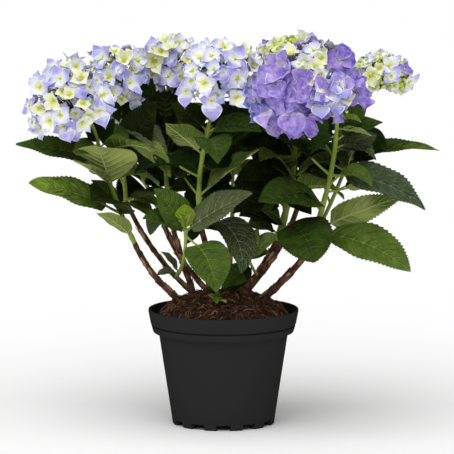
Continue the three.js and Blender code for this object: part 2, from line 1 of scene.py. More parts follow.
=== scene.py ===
# The looks of the potted hydrangea: its canes, shoots, leaves, flower heads, soil and pot, over the
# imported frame. Lengths are in millimetres here, as in the part's source, and each mesh is made in metres.
import math

import bpy
import numpy as np
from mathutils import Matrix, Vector, noise


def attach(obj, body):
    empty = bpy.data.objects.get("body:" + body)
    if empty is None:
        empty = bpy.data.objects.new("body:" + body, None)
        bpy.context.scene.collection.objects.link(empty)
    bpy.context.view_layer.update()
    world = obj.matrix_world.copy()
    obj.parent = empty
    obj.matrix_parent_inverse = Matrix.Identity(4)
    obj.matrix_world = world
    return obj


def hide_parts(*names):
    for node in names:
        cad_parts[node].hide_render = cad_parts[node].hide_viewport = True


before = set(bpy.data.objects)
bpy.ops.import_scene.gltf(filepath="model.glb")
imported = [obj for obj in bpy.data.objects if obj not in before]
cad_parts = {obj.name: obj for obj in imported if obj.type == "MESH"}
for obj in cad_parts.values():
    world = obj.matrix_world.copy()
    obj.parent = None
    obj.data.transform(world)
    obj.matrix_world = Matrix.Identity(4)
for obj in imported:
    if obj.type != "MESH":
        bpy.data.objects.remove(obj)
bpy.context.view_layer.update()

MM = 0.001
UP = np.array([0.0, 0.0, 1.0])

# Camera: it looks along +Y and down a little, through a long lens. The frame's width is at the aim.
CAMERA_AIM = (4.54, 0, 250.2)
CAMERA_DISTANCE = 5600
CAMERA_ELEVATION = 7.9
FRAME_WIDTH = 573
SENSOR_WIDTH = 36

# The pot and its soil, as in the source
POT_HEIGHT = 146.5
RIM_RADIUS = 95
RIM_LIP = 2.8
BAND_RADIUS = 88.8
BAND_FOOT = 117.5
BAND_RIDGE = 126.5
BAND_STEP = 3
BODY_TOP = BAND_FOOT - BAND_STEP
BODY_TOP_RADIUS = 81.6
BODY_FOOT_RADIUS = 64.6
POT_WALL = 2.2
FOOT_COUNT = 12
FOOT_HEIGHT = 7
FOOT_DEPTH = 11
FOOT_NOTCH_ANGLE = 16
SOIL_EDGE = 132
SOIL_TOP = 169
MOUND_RADIUS = 84

# The pot's finer form: how many sides it is turned with, the groove along the band's ridge, and how far
# the corners of the shell and of the feet are eased
POT_SIDES = 192
GROOVE_DEPTH = 1.6
GROOVE_HALF = 0.9
SHELL_EASE = 0.7
FOOT_EASE = 0.8
FOOT_END_EASE = 0.6

# Limbs, as in the source
GAP = 0.3
FLARE = 0.3
FLARE_SHORTNESS = 10

# Limbs as drawn: how thick the green stems and the canes are, as shares of the source's, and how much a
# green stem swells at each leaf
STEM_SHARE = 0.86
BARK_SHARE = 0.88
STEM_SWELLING = 0.12
STEM_SWELLING_REACH = 0.025

# A cane's finer form: its swollen nodes, its ridges and cracks as shares of the radius, its loose strips
CANE_CORNERS = 28
NODE_SPACING = (24, 32)
NODE_SWELLING = 0.13
NODE_REACH = 2.2
RIDGE_RELIEF = 0.07
CRACK_RELIEF = 0.1
CRACK_WIDTH = 0.12
STRIPS_PER_CANE = 14

# Leaves, as in the source
LEAF_WIDTH = 0.62
LEAF_LENGTHS = (84, 112)
LEAF_RISES = (18, 50)
LEAF_DROOPS = (50, 88)
LEAF_ROLLS = (-34, 34)
PETIOLE_LENGTHS = (14, 28)
LEAF_FOLD = 14
LEAF_TRIES = 8
SAMPLE_ROWS = 10
LEAF_CLEARANCE = 7
OWN_LEAF_CLEARANCE = 5
HEAD_CLEARANCE = 5
CROWN_FLOOR = 262
CROWN_FLOOR_SLOPE = 0.2
CROWN_LEFT = -178
CROWN_RIGHT = 192
CROWN_DEPTH = 195

# Flower heads, as in the source
GOLDEN_ANGLE = 137.508
HEAD_SPREAD = 122
HEAD_LIFT = 0.6
HEAD_SEED = 31

# A head's finer form: its florets' crossed sepals with an eye each, their branches, and buds on stalks.
# Where florets are listed one by one, those of the rule that face the front are moved in and made smaller,
# and the young ones at the top of a loose head are made smaller too. LOOSE is how strongly its sepals cup
# and wave.
SHOWN_FACING = -0.3
UNDER_SHARE = 0.88
YOUNG_SHARE = 0.6
LOOSE = 1.7
SEPAL_THICKNESS = 0.4
SEPAL_LEAST_HALF = 0.25
SEPAL_CREASE = 0.03
SEPAL_CREASE_WIDTH = 0.18
SEPAL_TONE_BLUR = 0.12
EYE_RADIUS = 1.5
EYE_LENGTH = 2.8
BRANCH_RADII = (1.3, 1.0, 0.8, 0.7, 0.6)
BUD_RADII = (1.3, 2.6)
BIG_BUD_RADII = (2.2, 3.8)
BUD_LENGTH = 1.9
BUD_STALK = 9
BUD_STALK_RADII = (0.6, 0.5, 0.5)

# A leaf's finer form: its side veins, toothed edge and quilting, the net of its smallest veins, its ribs
# with their heights above and below the blade, and its stalk
VEINS = 7
FIRST_VEIN = 0.05
LAST_VEIN = 0.9
VEIN_SWEEP = 0.86
VEIN_LEAN = 0.07
COLUMNS_PER_VEIN = 6
BLADE_ROWS = (0, 0.1, 0.3, 0.55, 0.78, 0.93, 1)
TOOTH = 1.55
TOOTH_LEAN = 0.55
QUILT = 2.5
EDGE_WAVES = 2.4
EDGE_WAVE_SHIFT = 2.1
EDGE_WAVE_HEIGHTS = (0.6, 2.4)
BLADE_THICKNESS = 0.55
TIP_DRAW = 0.5
TIP_START = 0.55
TONE_BLUR = 0.5
NET_SCALE = 400
NET_RELIEF = 1.1
NET_LINE = 0.08
MIDRIB_WIDTH = 2.9
MIDRIB_TAPER = 2.3
MIDRIB_HEIGHTS = (0.45, 1.3)
VEIN_WIDTH = 1.35
VEIN_TAPER = 0.95
VEIN_HEIGHTS = (0.3, 0.7)
PETIOLE_RADII = (2.6, 2.0, 1.7, 1.6, 1.55, 1.5, 1.45, 1.2)

# The soil's finer form: a mound with fuller shoulders than the source's, smooth near the pot's wall, with
# root fibres and crumbs on it. LUMPS has each layer's height, how dense it is and its place in the noise.
# The dark red crumbs lie only beyond the last of these radii.
MOUND_FLATNESS = 0.48
MOUND_EDGE = 88
MOUND_FOOT_RADIUS = 86
MOUND_DEPTH = 12
MOUND_SIDES = 180
MOUND_DROP = 0.6
LUMPS = ((2.6, 0.06, 3), (2, 0.21, 11), (1.1, 0.6, 23))
CALM_RADIUS = 87
CALM_WIDTH = 8
FIBRES = 850
FIBRE_REACH = 84
FIBRE_EDGE = 86
CRUMBS = 560
CRUMB_REACH = 85
MAROON_REACH = 58

# Studio
FLOOR_REACH = 14.0
KEY_AZIMUTH = -14
KEY_ELEVATION = 62
KEY_STRENGTH = 2.35
KEY_SPREAD = 80
GLOW_STRENGTH = 0.37

# Each shoot as in the source: its cane, its green stem, the leaves placed one by one, and how many pairs
# the rule adds, from which heading. A cane's "drawn" radius takes the place of its radius here.
# A leaf's row: its place on the stem, tip, petiole, width, droop, roll and tone, then what is drawn
# otherwise here. A belly above 1 moves the widest place towards the tip, and a negative taper makes the
# tip rounder. A tone with ">" goes from one near the stalk to another near the tip.
# Inner leaves are small ones, most of them shaded, that are drawn only here. Most take the dark tone,
# which is painted shade for the inside of the crown.
LEAF_VALUES = ("at", "tip", "petiole", "width", "droop", "roll", "tone")
shoots = [
    {
        "name": "left_low",
        "cane": {"foot": (-46, -14, 151), "bend": (-95, -10, 189), "radius": 4.6},
        "node": (-112, -8, 231), "lift": (-138, -26, 286), "top": (-159, -46, 372), "radii": (3.7, 2.6),
        "leaves": [
            (0.06, (-158, -34, 276), 8, 0.46, 25, 20, "olive",
             {"tip": (-158, -58, 276), "width": 0.4, "tone": "pale"}),
            # Its mid tone near the stalk is painted shade on that end of the blade; the bright tip is its
            # own colour.
            (0.27, (-240, -72, 320), 22, 0.37, 18, -50, "mid>bright",
             {"at": 0.33, "tip": (-242, -72, 315), "width": 0.35, "belly": 0.85, "taper": -0.3}),
            (0.45, (-156, -86, 363), 8, 1.05, 10, 0, "pale", {"at": 0.58, "width": 1.12, "belly": 1.65}),
            (0.8, (-266, -44, 363), 14, 0.42, 14, -42, "deep", {"tip": (-259, -44, 361), "width": 0.35}),
            (0.9, (-120, 6, 372), 8, 0.7, 30, 40, "deep"),
        ],
        "inner": [
            (0.93, (-186, -66, 352), 5, 0.8, 20, -40, "mid"),
            # This deep-toned leaf is painted shade: it stands for the shaded half of the bright leaf near
            # its stalk.
            (0.4, (-166, -14, 312), 6, 0.6, 20, -30, "deep"),
            (0.6, (-186, -74, 344), 8, 0.62, 14, -10, "pale"),
            (0.95, (-136, -36, 392), 4, 0.8, 10, 40, "dark"),
            (0.93, (-178, -44, 392), 4, 0.8, 20, -40, "dark"),
        ],
        "pairs": 4, "heading": 60,
    },
    {
        "name": "left",
        "cane": {"foot": (-32, 16, 158), "bend": (-92, 15, 208), "radius": 3.9},
        "node": (-123, 16, 281), "lift": (-127, 22, 322), "top": (-129, 34, 384), "radii": (3.1, 2.4),
        "leaves": [
            (0.5, (-66, -16, 305), 16, 0.42, 95, 25, "olive",
             {"at": 0.78, "tip": (-66, -44, 319), "width": 0.3, "droop": 50}),
            (0.62, (-70, 14, 325), 16, 0.4, 80, 25, "grey",
             {"at": 0.86, "tip": (-70, -20, 337), "width": 0.32, "droop": 60}),
            (0.5, (-84, -2, 410), 10, 0.5, 8, 84, "deep", {"width": 0.6, "tone": "dark"}),
            (0.04, (-78, 2, 276), 10, 0.5, 40, 30, "mid"),
            (0.02, (-80, -2, 242), 10, 0.5, 50, 40, "deep", {"tip": (-90, -2, 272), "width": 0.4}),
        ],
        "inner": [
            (0.9, (-98, 40, 428), 4, 0.8, 14, 60, "dark"), (0.92, (-74, 10, 357), 4, 0.7, 20, 20, "grey"),
            (0.0, (-90, 4, 262), 3, 0.55, 30, 20, "mid"),
        ],
        "pairs": 4, "heading": 110,
    },
    {
        "name": "left_middle",
        "cane": {"foot": (-35, 1, 156), "bend": (-49, 0, 198), "radius": 6.2, "drawn": 4.3},
        "node": (-63, 10, 244), "lift": (-78, 44, 300), "top": (-72, 82, 390), "radii": (3.6, 2.6),
        "leaves": [
            (0.7, (-24, 26, 404), 8, 0.62, 14, 50, "deep"),
            (0.8, (-104, 30, 408), 6, 0.6, 20, -55, "dark"),
            (0.4, (-36, -6, 298), 8, 0.6, 30, 40, "dark"),
            (0.6, (-38, 40, 352), 6, 0.7, 30, 50, "dark"),
            (0.66, (-102, 44, 362), 6, 0.7, 30, -55, "dark"),
        ],
        "inner": [
            (0.94, (-108, 46, 430), 4, 0.8, 20, -60, "dark"),
            (0.94, (-42, 44, 424), 4, 0.8, 20, 60, "dark"), (0.8, (-74, 30, 420), 4, 0.9, 10, 0, "dark"),
            (0.08, (-92, -14, 242), 3, 0.8, 100, 0, "grey"), (0.6, (-66, 24, 376), 5, 0.8, 20, 20, "dark"),
        ],
        "pairs": 5, "heading": 15,
    },
    {
        "name": "centre",
        "cane": {"foot": (-18, -10, 160), "bend": (-15, -12, 212), "radius": 4.8},
        "node": (-28, -16, 250), "lift": (-37, -24, 310), "top": (-17, -38, 388), "radii": (4.1, 2.9),
        "leaves": [
            (0.08, (22, -73, 202), 28, 0.58, 112, 4, "net"),
            (0.34, (43, -44, 354), 34, 0.55, 6, 20, "olive>mid",
             {"petiole": 14, "width": 0.7, "belly": 0.75}),
            (0.34, (-92, 0, 345), 28, 0.55, 30, -30, "deep"),
            (0.72, (-72, -58, 388), 9, 0.52, 8, 10, "olive", {"width": 0.75, "roll": 30}),
            (0.72, (38, -8, 377), 10, 0.5, 16, 30, "deep"),
            (0.92, (47, -74, 380), 10, 0.52, 45, 35, "deep"),
            (0.92, (-66, -24, 410), 8, 0.62, 20, -55, "dark"),
            (0.3, (8, 18, 292), 12, 0.55, 40, 30, "dark"),
        ],
        "inner": [
            (0.95, (38, -6, 402), 4, 0.7, 10, 40, "dark"), (0.8, (-58, -8, 366), 4, 0.8, 20, -50, "dark"),
            (0.55, (-64, -4, 346), 4, 0.8, 20, -50, "dark"),
            (0.02, (-46, -26, 232), 3, 0.7, 30, -30, "dark"), (0.3, (10, 0, 316), 4, 0.8, 30, 40, "dark"),
            (0.02, (-6, -30, 250), 3, 0.5, 20, 20, "dark"),
            (0.06, (-58, -20, 256), 3, 0.7, 30, -30, "dark"), (0.6, (22, 4, 350), 5, 0.7, 20, 40, "dark"),
        ],
        "pairs": 3, "heading": 80,
    },
    {
        "name": "right_middle",
        "cane": {"foot": (17, 2, 160), "bend": (50, 2, 188), "radius": 7},
        "node": (68, 4, 232), "lift": (98, 20, 318), "top": (89, 58, 410), "radii": (5.2, 2.8),
        "leaves": [
            (0.1, (114, -104, 216), 26, 0.56, 78, 10, "deep",
             {"tip": (114, -104, 221), "width": 0.64, "droop": 60, "roll": 22, "belly": 1.75,
              "taper": -0.3}),
            (0.04, (30, -36, 254), 12, 0.6, 55, -40, "dark", {"tone": "deep"}),
            (0.26, (12, -18, 270), 12, 0.6, 45, -40, "dark"),
            (0.42, (22, -10, 312), 12, 0.6, 50, -45, "dark"),
            (0.14, (48, -34, 276), 8, 0.7, 20, -60, "deep"),
        ],
        "inner": [
            (0.5, (14, 40, 300), 6, 0.6, 30, -60, "dark"), (0.78, (12, 34, 350), 6, 0.6, 30, -60, "dark"),
            (0.6, (146, 24, 322), 6, 0.6, 30, 60, "dark"), (0.9, (30, 40, 392), 6, 0.6, 20, -60, "dark"),
            (0.06, (100, -16, 236), 4, 0.8, 40, 30, "dark"), (0.4, (62, -20, 330), 6, 0.8, 30, -40, "dark"),
            (0.7, (66, 0, 376), 6, 0.8, 20, -40, "dark"), (0.3, (110, -30, 270), 5, 0.5, 30, 30, "dark"),
            (0.6, (48, 16, 344), 4, 0.8, 20, -40, "dark"), (0.12, (34, -24, 272), 5, 0.8, 30, -30, "dark"),
            (0.14, (20, -26, 268), 5, 0.7, 40, -40, "dark"),
        ],
        "pairs": 6, "heading": 35,
    },
    {
        "name": "right",
        "cane": {"foot": (42, -10, 154), "bend": (85, -14, 190), "radius": 5.6},
        "node": (105, -20, 220), "lift": (139, -42, 313), "top": (141, -76, 390), "radii": (4.4, 2.9),
        "leaves": [
            (0.14, (234, -104, 213), 20, 0.45, 34, 38, "mid",
             {"tip": (232, -104, 209), "width": 0.42, "belly": 1.25}),
            (0.16, (227, -62, 296), 16, 0.32, 8, -80, "olive",
             {"tip": (225, -62, 298), "petiole": 22, "width": 0.34, "belly": 0.75}),
            (0.4, (44, -118, 308), 10, 0.46, 28, -30, "deep",
             {"at": 0.36, "petiole": 5, "tip": (44, -118, 298), "width": 0.56}),
            (0.58, (257, -82, 285), 18, 0.44, 24, 42, "sage",
             {"tip": (250, -82, 283), "droop": 44, "width": 0.39, "belly": 0.85}),
            (0.58, (48, -84, 385), 32, 0.5, 20, -25, "dark"),
            (0.86, (198, -62, 390), 10, 0.66, 30, 35, "deep", {"width": 0.56}),
            (0.8, (190, -52, 342), 10, 0.62, 80, 30, "net"),
        ],
        "inner": [
            (0.9, (108, -60, 350), 5, 0.7, 40, -40, "deep"),
            (0.5, (184, -94, 314), 24, 0.32, 95, 40, "mid"), (0.1, (128, -52, 238), 4, 0.7, 30, 40, "mid"),
            (0.02, (80, -36, 230), 4, 0.7, 20, 30, "dark"), (0.93, (178, -50, 410), 5, 0.8, 20, 30, "deep"),
            (0.76, (192, -22, 370), 5, 0.8, 20, 20, "net"), (0.8, (160, -40, 352), 5, 0.8, 30, 30, "net"),
            (0.45, (200, -66, 310), 26, 0.3, 14, -50, "olive"),
            (1, (171, -86, 393), 6, 0.34, 90, 30, "bright"),
            (0.96, (184, -82, 376), 6, 0.26, 24, -50, "olive"),
        ],
        "pairs": 2, "heading": 75,
    },
    {
        "name": "right_side",
        "node": (96, -17, 208), "lift": (147, 24, 284), "top": (180, 6, 406), "radii": (3.1, 2.5),
        "leaves": [
            (0.69, (271, -8, 349), 18, 0.38, 32, 25, "mid",
             {"width": 0.34, "belly": 0.55, "taper": 0.85, "tone": "deep>mid"}),
            (0.5, (208, 12, 296), 12, 0.5, 60, 0, "dark"),
            (0.86, (216, -18, 360), 6, 0.7, 30, 40, "dark", {"tip": (205, -18, 352), "width": 0.5}),
        ],
        "inner": [
            (0.7, (192, -10, 338), 6, 0.6, 30, 50, "dark"), (0.8, (199, 0, 369), 6, 0.7, 10, -30, "dark"),
            (0.62, (176, -6, 366), 5, 0.8, 20, 30, "net"), (0.9, (150, -30, 360), 5, 0.8, 30, -20, "dark"),
        ],
        "pairs": 4, "heading": 64,
    },
    {
        "name": "front_bud",
        "node": (-60, 16, 185), "lift": (-46, -40, 208), "top": (-47, -76, 259), "radii": (3, 2.4),
        "leaves": [
            (0.96, (-89, -106, 319), 5, 0.58, 16, -45, "fresh",
             {"tip": (-86, -86, 310), "width": 0.7, "roll": -68, "belly": 0.9}),
            (0.94, (-100, -98, 274), 5, 0.5, 50, -40, "mid", {"width": 0.6, "tone": "deep"}),
            (0.96, (35, -109, 308), 7, 0.46, 14, 52, "grey"),
            (0.9, (-9, -136, 188), 12, 0.72, 62, 12, "fresh", {"petiole": 30, "width": 0.74}),
            (1, (-48, -88, 291), 1, 0.6, 20, 10, "lime", {"width": 0.8}),
            (0.14, (-78, -8, 220), 4, 0.5, 20, -40, "grey"),
            (0.1, (-84, -10, 190), 4, 0.5, 50, -30, "grey"),
        ],
        "inner": [
            (1, (-42, -90, 280), 1, 0.6, 30, 30, "lime"), (1, (-54, -86, 278), 1, 0.6, 30, -40, "bright"),
        ],
        "pairs": 0, "heading": 0,
    },
    {
        "name": "basal_right",
        "node": (44, 2, 188), "lift": (36, -16, 198), "top": (31, -26, 218), "radii": (2.4, 1.8),
        "leaves": [
            (0.5, (-2, -48, 180), 6, 0.6, 20, -40, "dark", {"tone": "deep"}),
            (0.9, (70, -42, 246), 5, 0.62, 20, 50, "olive"),
            (1, (44, -24, 252), 4, 0.6, 10, 60, "olive"),
        ],
        "inner": [
            (0.7, (10, -34, 170), 4, 0.7, 30, -30, "dark"), (0.9, (58, -34, 222), 4, 0.8, 30, 40, "grey"),
        ],
        "pairs": 0, "heading": 0,
    },
    {
        "name": "back_left",
        "cane": {"foot": (-13, 30, 158), "bend": (-66, 76, 200), "radius": 5, "drawn": 3.8},
        "node": (-82, 98, 258), "lift": (-100, 116, 290), "top": (-122, 128, 332), "radii": (3.8, 2.6),
        "leaves": [],
        "inner": [
            (0.9, (-76, 90, 330), 8, 0.8, 20, 40, "dark"), (0.6, (-60, 84, 292), 8, 0.7, 20, 40, "dark"),
        ],
        "pairs": 5, "heading": 70,
    },
    {
        "name": "back_middle",
        "cane": {"foot": (5, 34, 158), "bend": (8, 92, 186), "radius": 5},
        "node": (10, 120, 226), "lift": (14, 130, 275), "top": (10, 132, 338), "radii": (3.8, 2.2),
        "leaves": [],
        "inner": [
            (0.75, (-46, 70, 296), 6, 0.6, 30, -60, "dark"), (0.6, (64, 70, 290), 6, 0.6, 30, 60, "dark"),
            (0.95, (-40, 80, 362), 6, 0.6, 10, -60, "dark"), (0.95, (62, 80, 352), 6, 0.6, 10, 60, "dark"),
        ],
        "pairs": 5, "heading": 50,
    },
    {
        "name": "back_right",
        "cane": {"foot": (20, 20, 160), "bend": (74, 80, 200), "radius": 5},
        "node": (94, 104, 258), "lift": (106, 122, 300), "top": (107, 132, 348), "radii": (3.8, 2.6),
        "leaves": [],
        "inner": [
            (0.9, (56, 84, 338), 8, 0.7, 20, -40, "dark"), (0.6, (134, 84, 300), 8, 0.7, 20, 40, "dark"),
            (0.95, (142, 90, 350), 8, 0.7, 20, 40, "dark"), (0.5, (60, 76, 296), 8, 0.7, 20, -40, "dark"),
            (0.75, (104, 66, 312), 8, 0.9, 30, 0, "dark"),
        ],
        "pairs": 5, "heading": 20,
    },
]

# Each flower head as in the source, then the finer florets' count and size, how many buds stand among
# them, and the mix of tones
HEAD_VALUES = ("shoot", "centre", "radius", "depth", "florets", "size", "buds", "mix")
head_rows = (
    ("left_low", (-187, -60, 418), 51, 0.97, 46, 15, 90, "young"),
    ("left", (-136, 46, 434), 42, 0.98, 38, 14, 70, "young"),
    ("left_middle", (-71, 107, 440), 41, 0.98, 38, 14, 90, "young"),
    ("centre", (-4, -42, 441), 46, 0.97, 40, 15, 90, "young"),
    ("right_middle", (86, 72, 458), 41, 0.66, 34, 12, 260, "bud"),
    ("right", (106, -118, 439), 70, 0.78, 34, 25, 90, "full"),
    ("right_side", (201, -2, 444), 37, 0.64, 30, 12, 160, "bud"),
    ("back_left", (-128, 138, 372), 42, 0.95, 40, 16, 40, "young"),
    ("back_right", (110, 142, 394), 46, 0.95, 42, 17, 40, "young"),
)
heads = [dict(zip(HEAD_VALUES, row)) for row in head_rows]

# The florets that can be told apart from the front. A row: how far right of and above the head's centre,
# the sepals' length, the turn of the cross and the tone, then the lowest sepal's share of that length
# where it is a longer one
shown_florets = {
    "left_low": [
        (-14, 30, 19, 40, "lilac"), (5, 44, 14, 20, "fading"), (12, 30, 13, 50, "cream"),
        (-40, 18, 16, 70, "fading"), (-11, 16, 12, 30, "cream"), (-2, 11, 9, 60, "cream"),
        (-22, 4, 15, 65, "cream"), (6, 21, 18, 45, "deep"), (14, 0, 12, 30, "cream"),
        (38, 10, 21, 70, "pale"), (34, -9, 20, 30, "lilac"), (22, -16, 12, 20, "cream"),
        (12, -23, 16, 55, "fading"), (-53, -6, 16, 50, "lilac"), (-39, -6, 12, 30, "cream"),
        (-44, 24, 15, 20, "lilac"), (-24, 42, 13, 60, "lilac"), (-27, -22, 16, 10, "fading"),
        (-10, -29, 20, 36, "lilac", 1.1), (0, -35, 17, 63, "blue"), (-38, -33, 18, 30, "pale"),
        (-50, -27, 11, 60, "pale"), (-27, 30, 16, 10, "lilac"), (30, 28, 13, 40, "lilac"),
        (-14, -14, 14, 70, "pale"),
    ],
    "left": [
        (-17, 27, 20, 50, "lilac"), (-27, 11, 16, 20, "lilac"), (-8, 5, 16, 60, "fading"),
        (4, 14, 16, 30, "blue"), (18, -2, 18, 45, "lilac"), (14, -18, 13, 20, "lilac"),
        (25, -24, 15, 14, "lilac", 1.2), (8, -22, 9, 20, "cream"), (11, 26, 12, 40, "cream"),
        (28, 24, 15, 30, "pale"), (-30, -8, 14, 60, "pale"), (-6, -14, 13, 30, "fading"),
    ],
    "left_middle": [
        (1, -6, 19, 63, "lilac"), (20, -7, 17, 40, "fading"), (18, -24, 22, 6, "lilac", 1.35),
        (26, 15, 14, 30, "cream"), (3, 15, 14, 60, "deep"), (11, 7, 10, 20, "pale"),
        (-18, 13, 15, 50, "cream"), (-32, 13, 16, 30, "lilac"), (-19, 28, 18, 20, "lilac"),
        (-8, 25, 13, 70, "cream"), (-2, 36, 13, 40, "cream"), (13, 33, 15, 10, "fading"),
        (26, 32, 13, 60, "pale"), (5, 27, 13, 30, "fading"), (-11, -17, 12, 50, "pale"),
        (-12, -28, 8, 20, "pale"), (-20, -4, 14, 70, "pale"),
    ],
    "centre": [
        (-11, -22, 19, 18, "lilac", 1.35), (-20, 0, 17, 40, "fading"), (4, 14, 15, 30, "blue"),
        (19, -18, 16, 55, "fading", 1.1), (22, 6, 18, 63, "pale"), (18, 29, 21, 75, "lilac"),
        (6, 42, 16, 20, "fading"), (-10, 33, 16, 50, "pale"), (-25, 29, 17, 30, "fading"),
        (40, 18, 15, 60, "fading"), (-16, 42, 14, 20, "fading"), (-34, 14, 14, 70, "pale"),
        (-8, 17, 13, 10, "pale"), (36, -6, 13, 40, "pale"), (-42, -12, 19, 24, "lilac", 1.2),
        (-36, 2, 13, 50, "pale"), (36, 29, 15, 30, "fading"), (30, 36, 12, 10, "cream"),
        (-19, 38, 15, 45, "pale"), (-31, 34, 14, 20, "lilac"),
    ],
    "right_middle": [
        (-40, 12, 10, 30, "pale"), (-31, 9, 12, 60, "cream"), (-21, 18, 11, 20, "cream"),
        (-26, 0, 11, 50, "cream"), (-14, 22, 10, 50, "cream"), (-8, 12, 10, 10, "cream"),
        (-32, 17, 9, 50, "violet"), (14, 24, 15, 40, "fading"), (26, 20, 14, 20, "blue"),
        (34, 17, 10, 60, "dusk"), (15, -2, 15, 30, "cream"), (21, 14, 12, 50, "fading"),
        (26, 4, 12, 10, "pale"), (31, 13, 11, 70, "cream"), (38, 8, 11, 40, "cream"),
        (36, -2, 11, 20, "lilac"), (-12, -8, 12, 45, "cream"),
    ],
    "right": [
        (-43, 13, 29, 50, "purple"), (-34, 31, 24, 75, "mauve"), (-15, 8, 25, 63, "purple"),
        (9, -11, 20, 35, "lilac", 1.05), (18, 3, 20, 70, "pale"), (-21, -20, 29, 24, "purple", 1.12),
        (35, 38, 26, 12, "violet", 1.05), (56, 1, 23, 5, "violet", 1.1), (38, 8, 20, 40, "blue"),
        (-62, -10, 22, 30, "dusk"), (-48, -20, 26, 20, "mauve"), (-1, 10, 21, 20, "purple"),
        (35, 12, 16, 40, "mauve"), (-34, -6, 24, 70, "violet"), (8, -2, 18, 45, "violet"),
        (-39, -24, 24, 10, "purple"), (30, -10, 18, 20, "blue"), (48, 14, 17, 63, "violet"),
        (-54, 4, 20, 60, "purple"), (-6, 38, 12, 40, "fading"), (6, 31, 11, 20, "cream"),
        (-22, 43, 12, 30, "cream"), (13, 41, 11, 60, "cream"), (4, 49, 12, 10, "pale"),
        (-9, 26, 11, 60, "cream"), (13, 22, 12, 45, "fading"), (-2, 18, 10, 30, "cream"),
        (-14, 34, 10, 10, "pale"), (44, -6, 12, 30, "cream"), (-66, -14, 21, 20, "dusk"),
        (-56, -25, 19, 60, "dusk"),
    ],
    "right_side": [
        (5, 13, 16, 60, "fading"), (9, 2, 14, 63, "lilac"), (13, -12, 9, 30, "pale"),
        (25, 9, 11, 80, "violet"), (31, -8, 16, 60, "pale"), (22, -16, 10, 40, "cream"),
        (-20, 15, 13, 50, "pale"), (-10, 20, 10, 80, "fading"), (-16, 1, 14, 30, "cream"),
        (-24, -24, 9, 20, "cream"), (-28, 2, 11, 60, "pale"), (-6, 10, 10, 40, "cream"),
        (-12, -12, 11, 60, "cream"),
    ],
}

# A young sprout on the soil, drawn only here
sprout = {
    "name": "sprout",
    "node": (-8, -46, 156), "lift": (-9, -48, 161), "top": (-9, -50, 166), "radii": (1.7, 1.2),
    "inner": [
        (0.9, (-19, -56, 173), 3, 0.75, 20, 30, "fresh"), (0.9, (4, -62, 164), 3, 0.8, 40, -20, "bright"),
        (1, (-8, -64, 162), 2, 0.7, 50, 10, "mid"), (1, (-6, -46, 176), 2, 0.6, 20, 60, "fresh"),
    ],
}

# The pruned stub, as in the source
stub = {"foot": (25, -12, 156), "tip": (31, -15, 193), "radii": (5.6, 5)}


# Colours and materials

GLOSS_SWING = 0.12
MOTTLE_EDGES = (0.38, 0.64)


def linear(code):
    """The linear colour of a hex code as a screen shows it."""
    parts = [int(code[k:k + 2], 16) / 255 for k in (0, 2, 4)]
    return [c / 12.92 if c <= 0.04045 else ((c + 0.055) / 1.055) ** 2.4 for c in parts] + [1.0]


def paler(code, share):
    """The colour mixed with this share of white."""
    return "".join(f"{round(int(code[k:k + 2], 16) * (1 - share) + 255 * share):02x}" for k in (0, 2, 4))


def add_node(tree, kind, values, feeds, **settings):
    """A node with these settings and socket values, fed by the outputs of others."""
    node = tree.nodes.new("ShaderNode" + kind)
    for name, value in settings.items():
        setattr(node, name, value)
    for name, value in values.items():
        node.inputs[name].default_value = value
    for name, source in feeds.items():
        tree.links.new(source, node.inputs[name])
    return node


def surface(name, code, roughness, bump, grain, second=None, patch=60.0, specular=0.5, net=None):
    """A material with a plain or mottled colour, and a fine relief and uneven gloss from noise. A net
    adds small domed cells with paler lines between them, as between a leaf's smallest veins; the lines
    are partly a painted highlight on the quilted blade."""
    material = bpy.data.materials.new(name)
    material.use_nodes = True
    tree = material.node_tree
    shader = tree.nodes["Principled BSDF"]
    shader.inputs["Base Color"].default_value = linear(code)
    shader.inputs["Specular IOR Level"].default_value = specular
    place = tree.nodes.new("ShaderNodeTexCoord").outputs["Object"]
    fine = add_node(tree, "TexNoise", {"Scale": grain, "Detail": 4}, {"Vector": place}).outputs["Fac"]
    relief = add_node(tree, "Bump", {"Strength": 1.0, "Distance": bump * MM}, {"Height": fine})
    tree.links.new(relief.outputs["Normal"], shader.inputs["Normal"])
    glossy, dull = max(roughness - GLOSS_SWING, 0.05), min(roughness + GLOSS_SWING, 1)
    gloss = add_node(tree, "MapRange", {"To Min": glossy, "To Max": dull}, {"Value": fine})
    tree.links.new(gloss.outputs["Result"], shader.inputs["Roughness"])
    if second:
        broad = add_node(tree, "TexNoise", {"Scale": patch, "Detail": 5}, {"Vector": place})
        ramp = add_node(tree, "ValToRGB", {}, {"Fac": broad.outputs["Fac"]})
        for stop, (edge, colour) in enumerate(zip(MOTTLE_EDGES, (code, second))):
            ramp.color_ramp.elements[stop].position = edge
            ramp.color_ramp.elements[stop].color = linear(colour)
        tree.links.new(ramp.outputs["Color"], shader.inputs["Base Color"])
    if net:
        vein, clear = net
        cells = add_node(tree, "TexVoronoi", {"Scale": NET_SCALE}, {"Vector": place},
                         feature="DISTANCE_TO_EDGE").outputs["Distance"]
        domes = add_node(tree, "Bump", {"Strength": 1.0, "Distance": NET_RELIEF * MM}, {"Height": cells})
        tree.links.new(domes.outputs["Normal"], relief.inputs["Normal"])
        limits = {"From Max": NET_LINE, "To Min": clear, "To Max": 0}
        line = add_node(tree, "MapRange", limits, {"Value": cells})
        blend = add_node(tree, "Mix", {"B": linear(vein)},
                         {"Factor": line.outputs["Result"], "A": ramp.outputs["Color"]}, data_type="RGBA")
        tree.links.new(blend.outputs["Result"], shader.inputs["Base Color"])
    return material
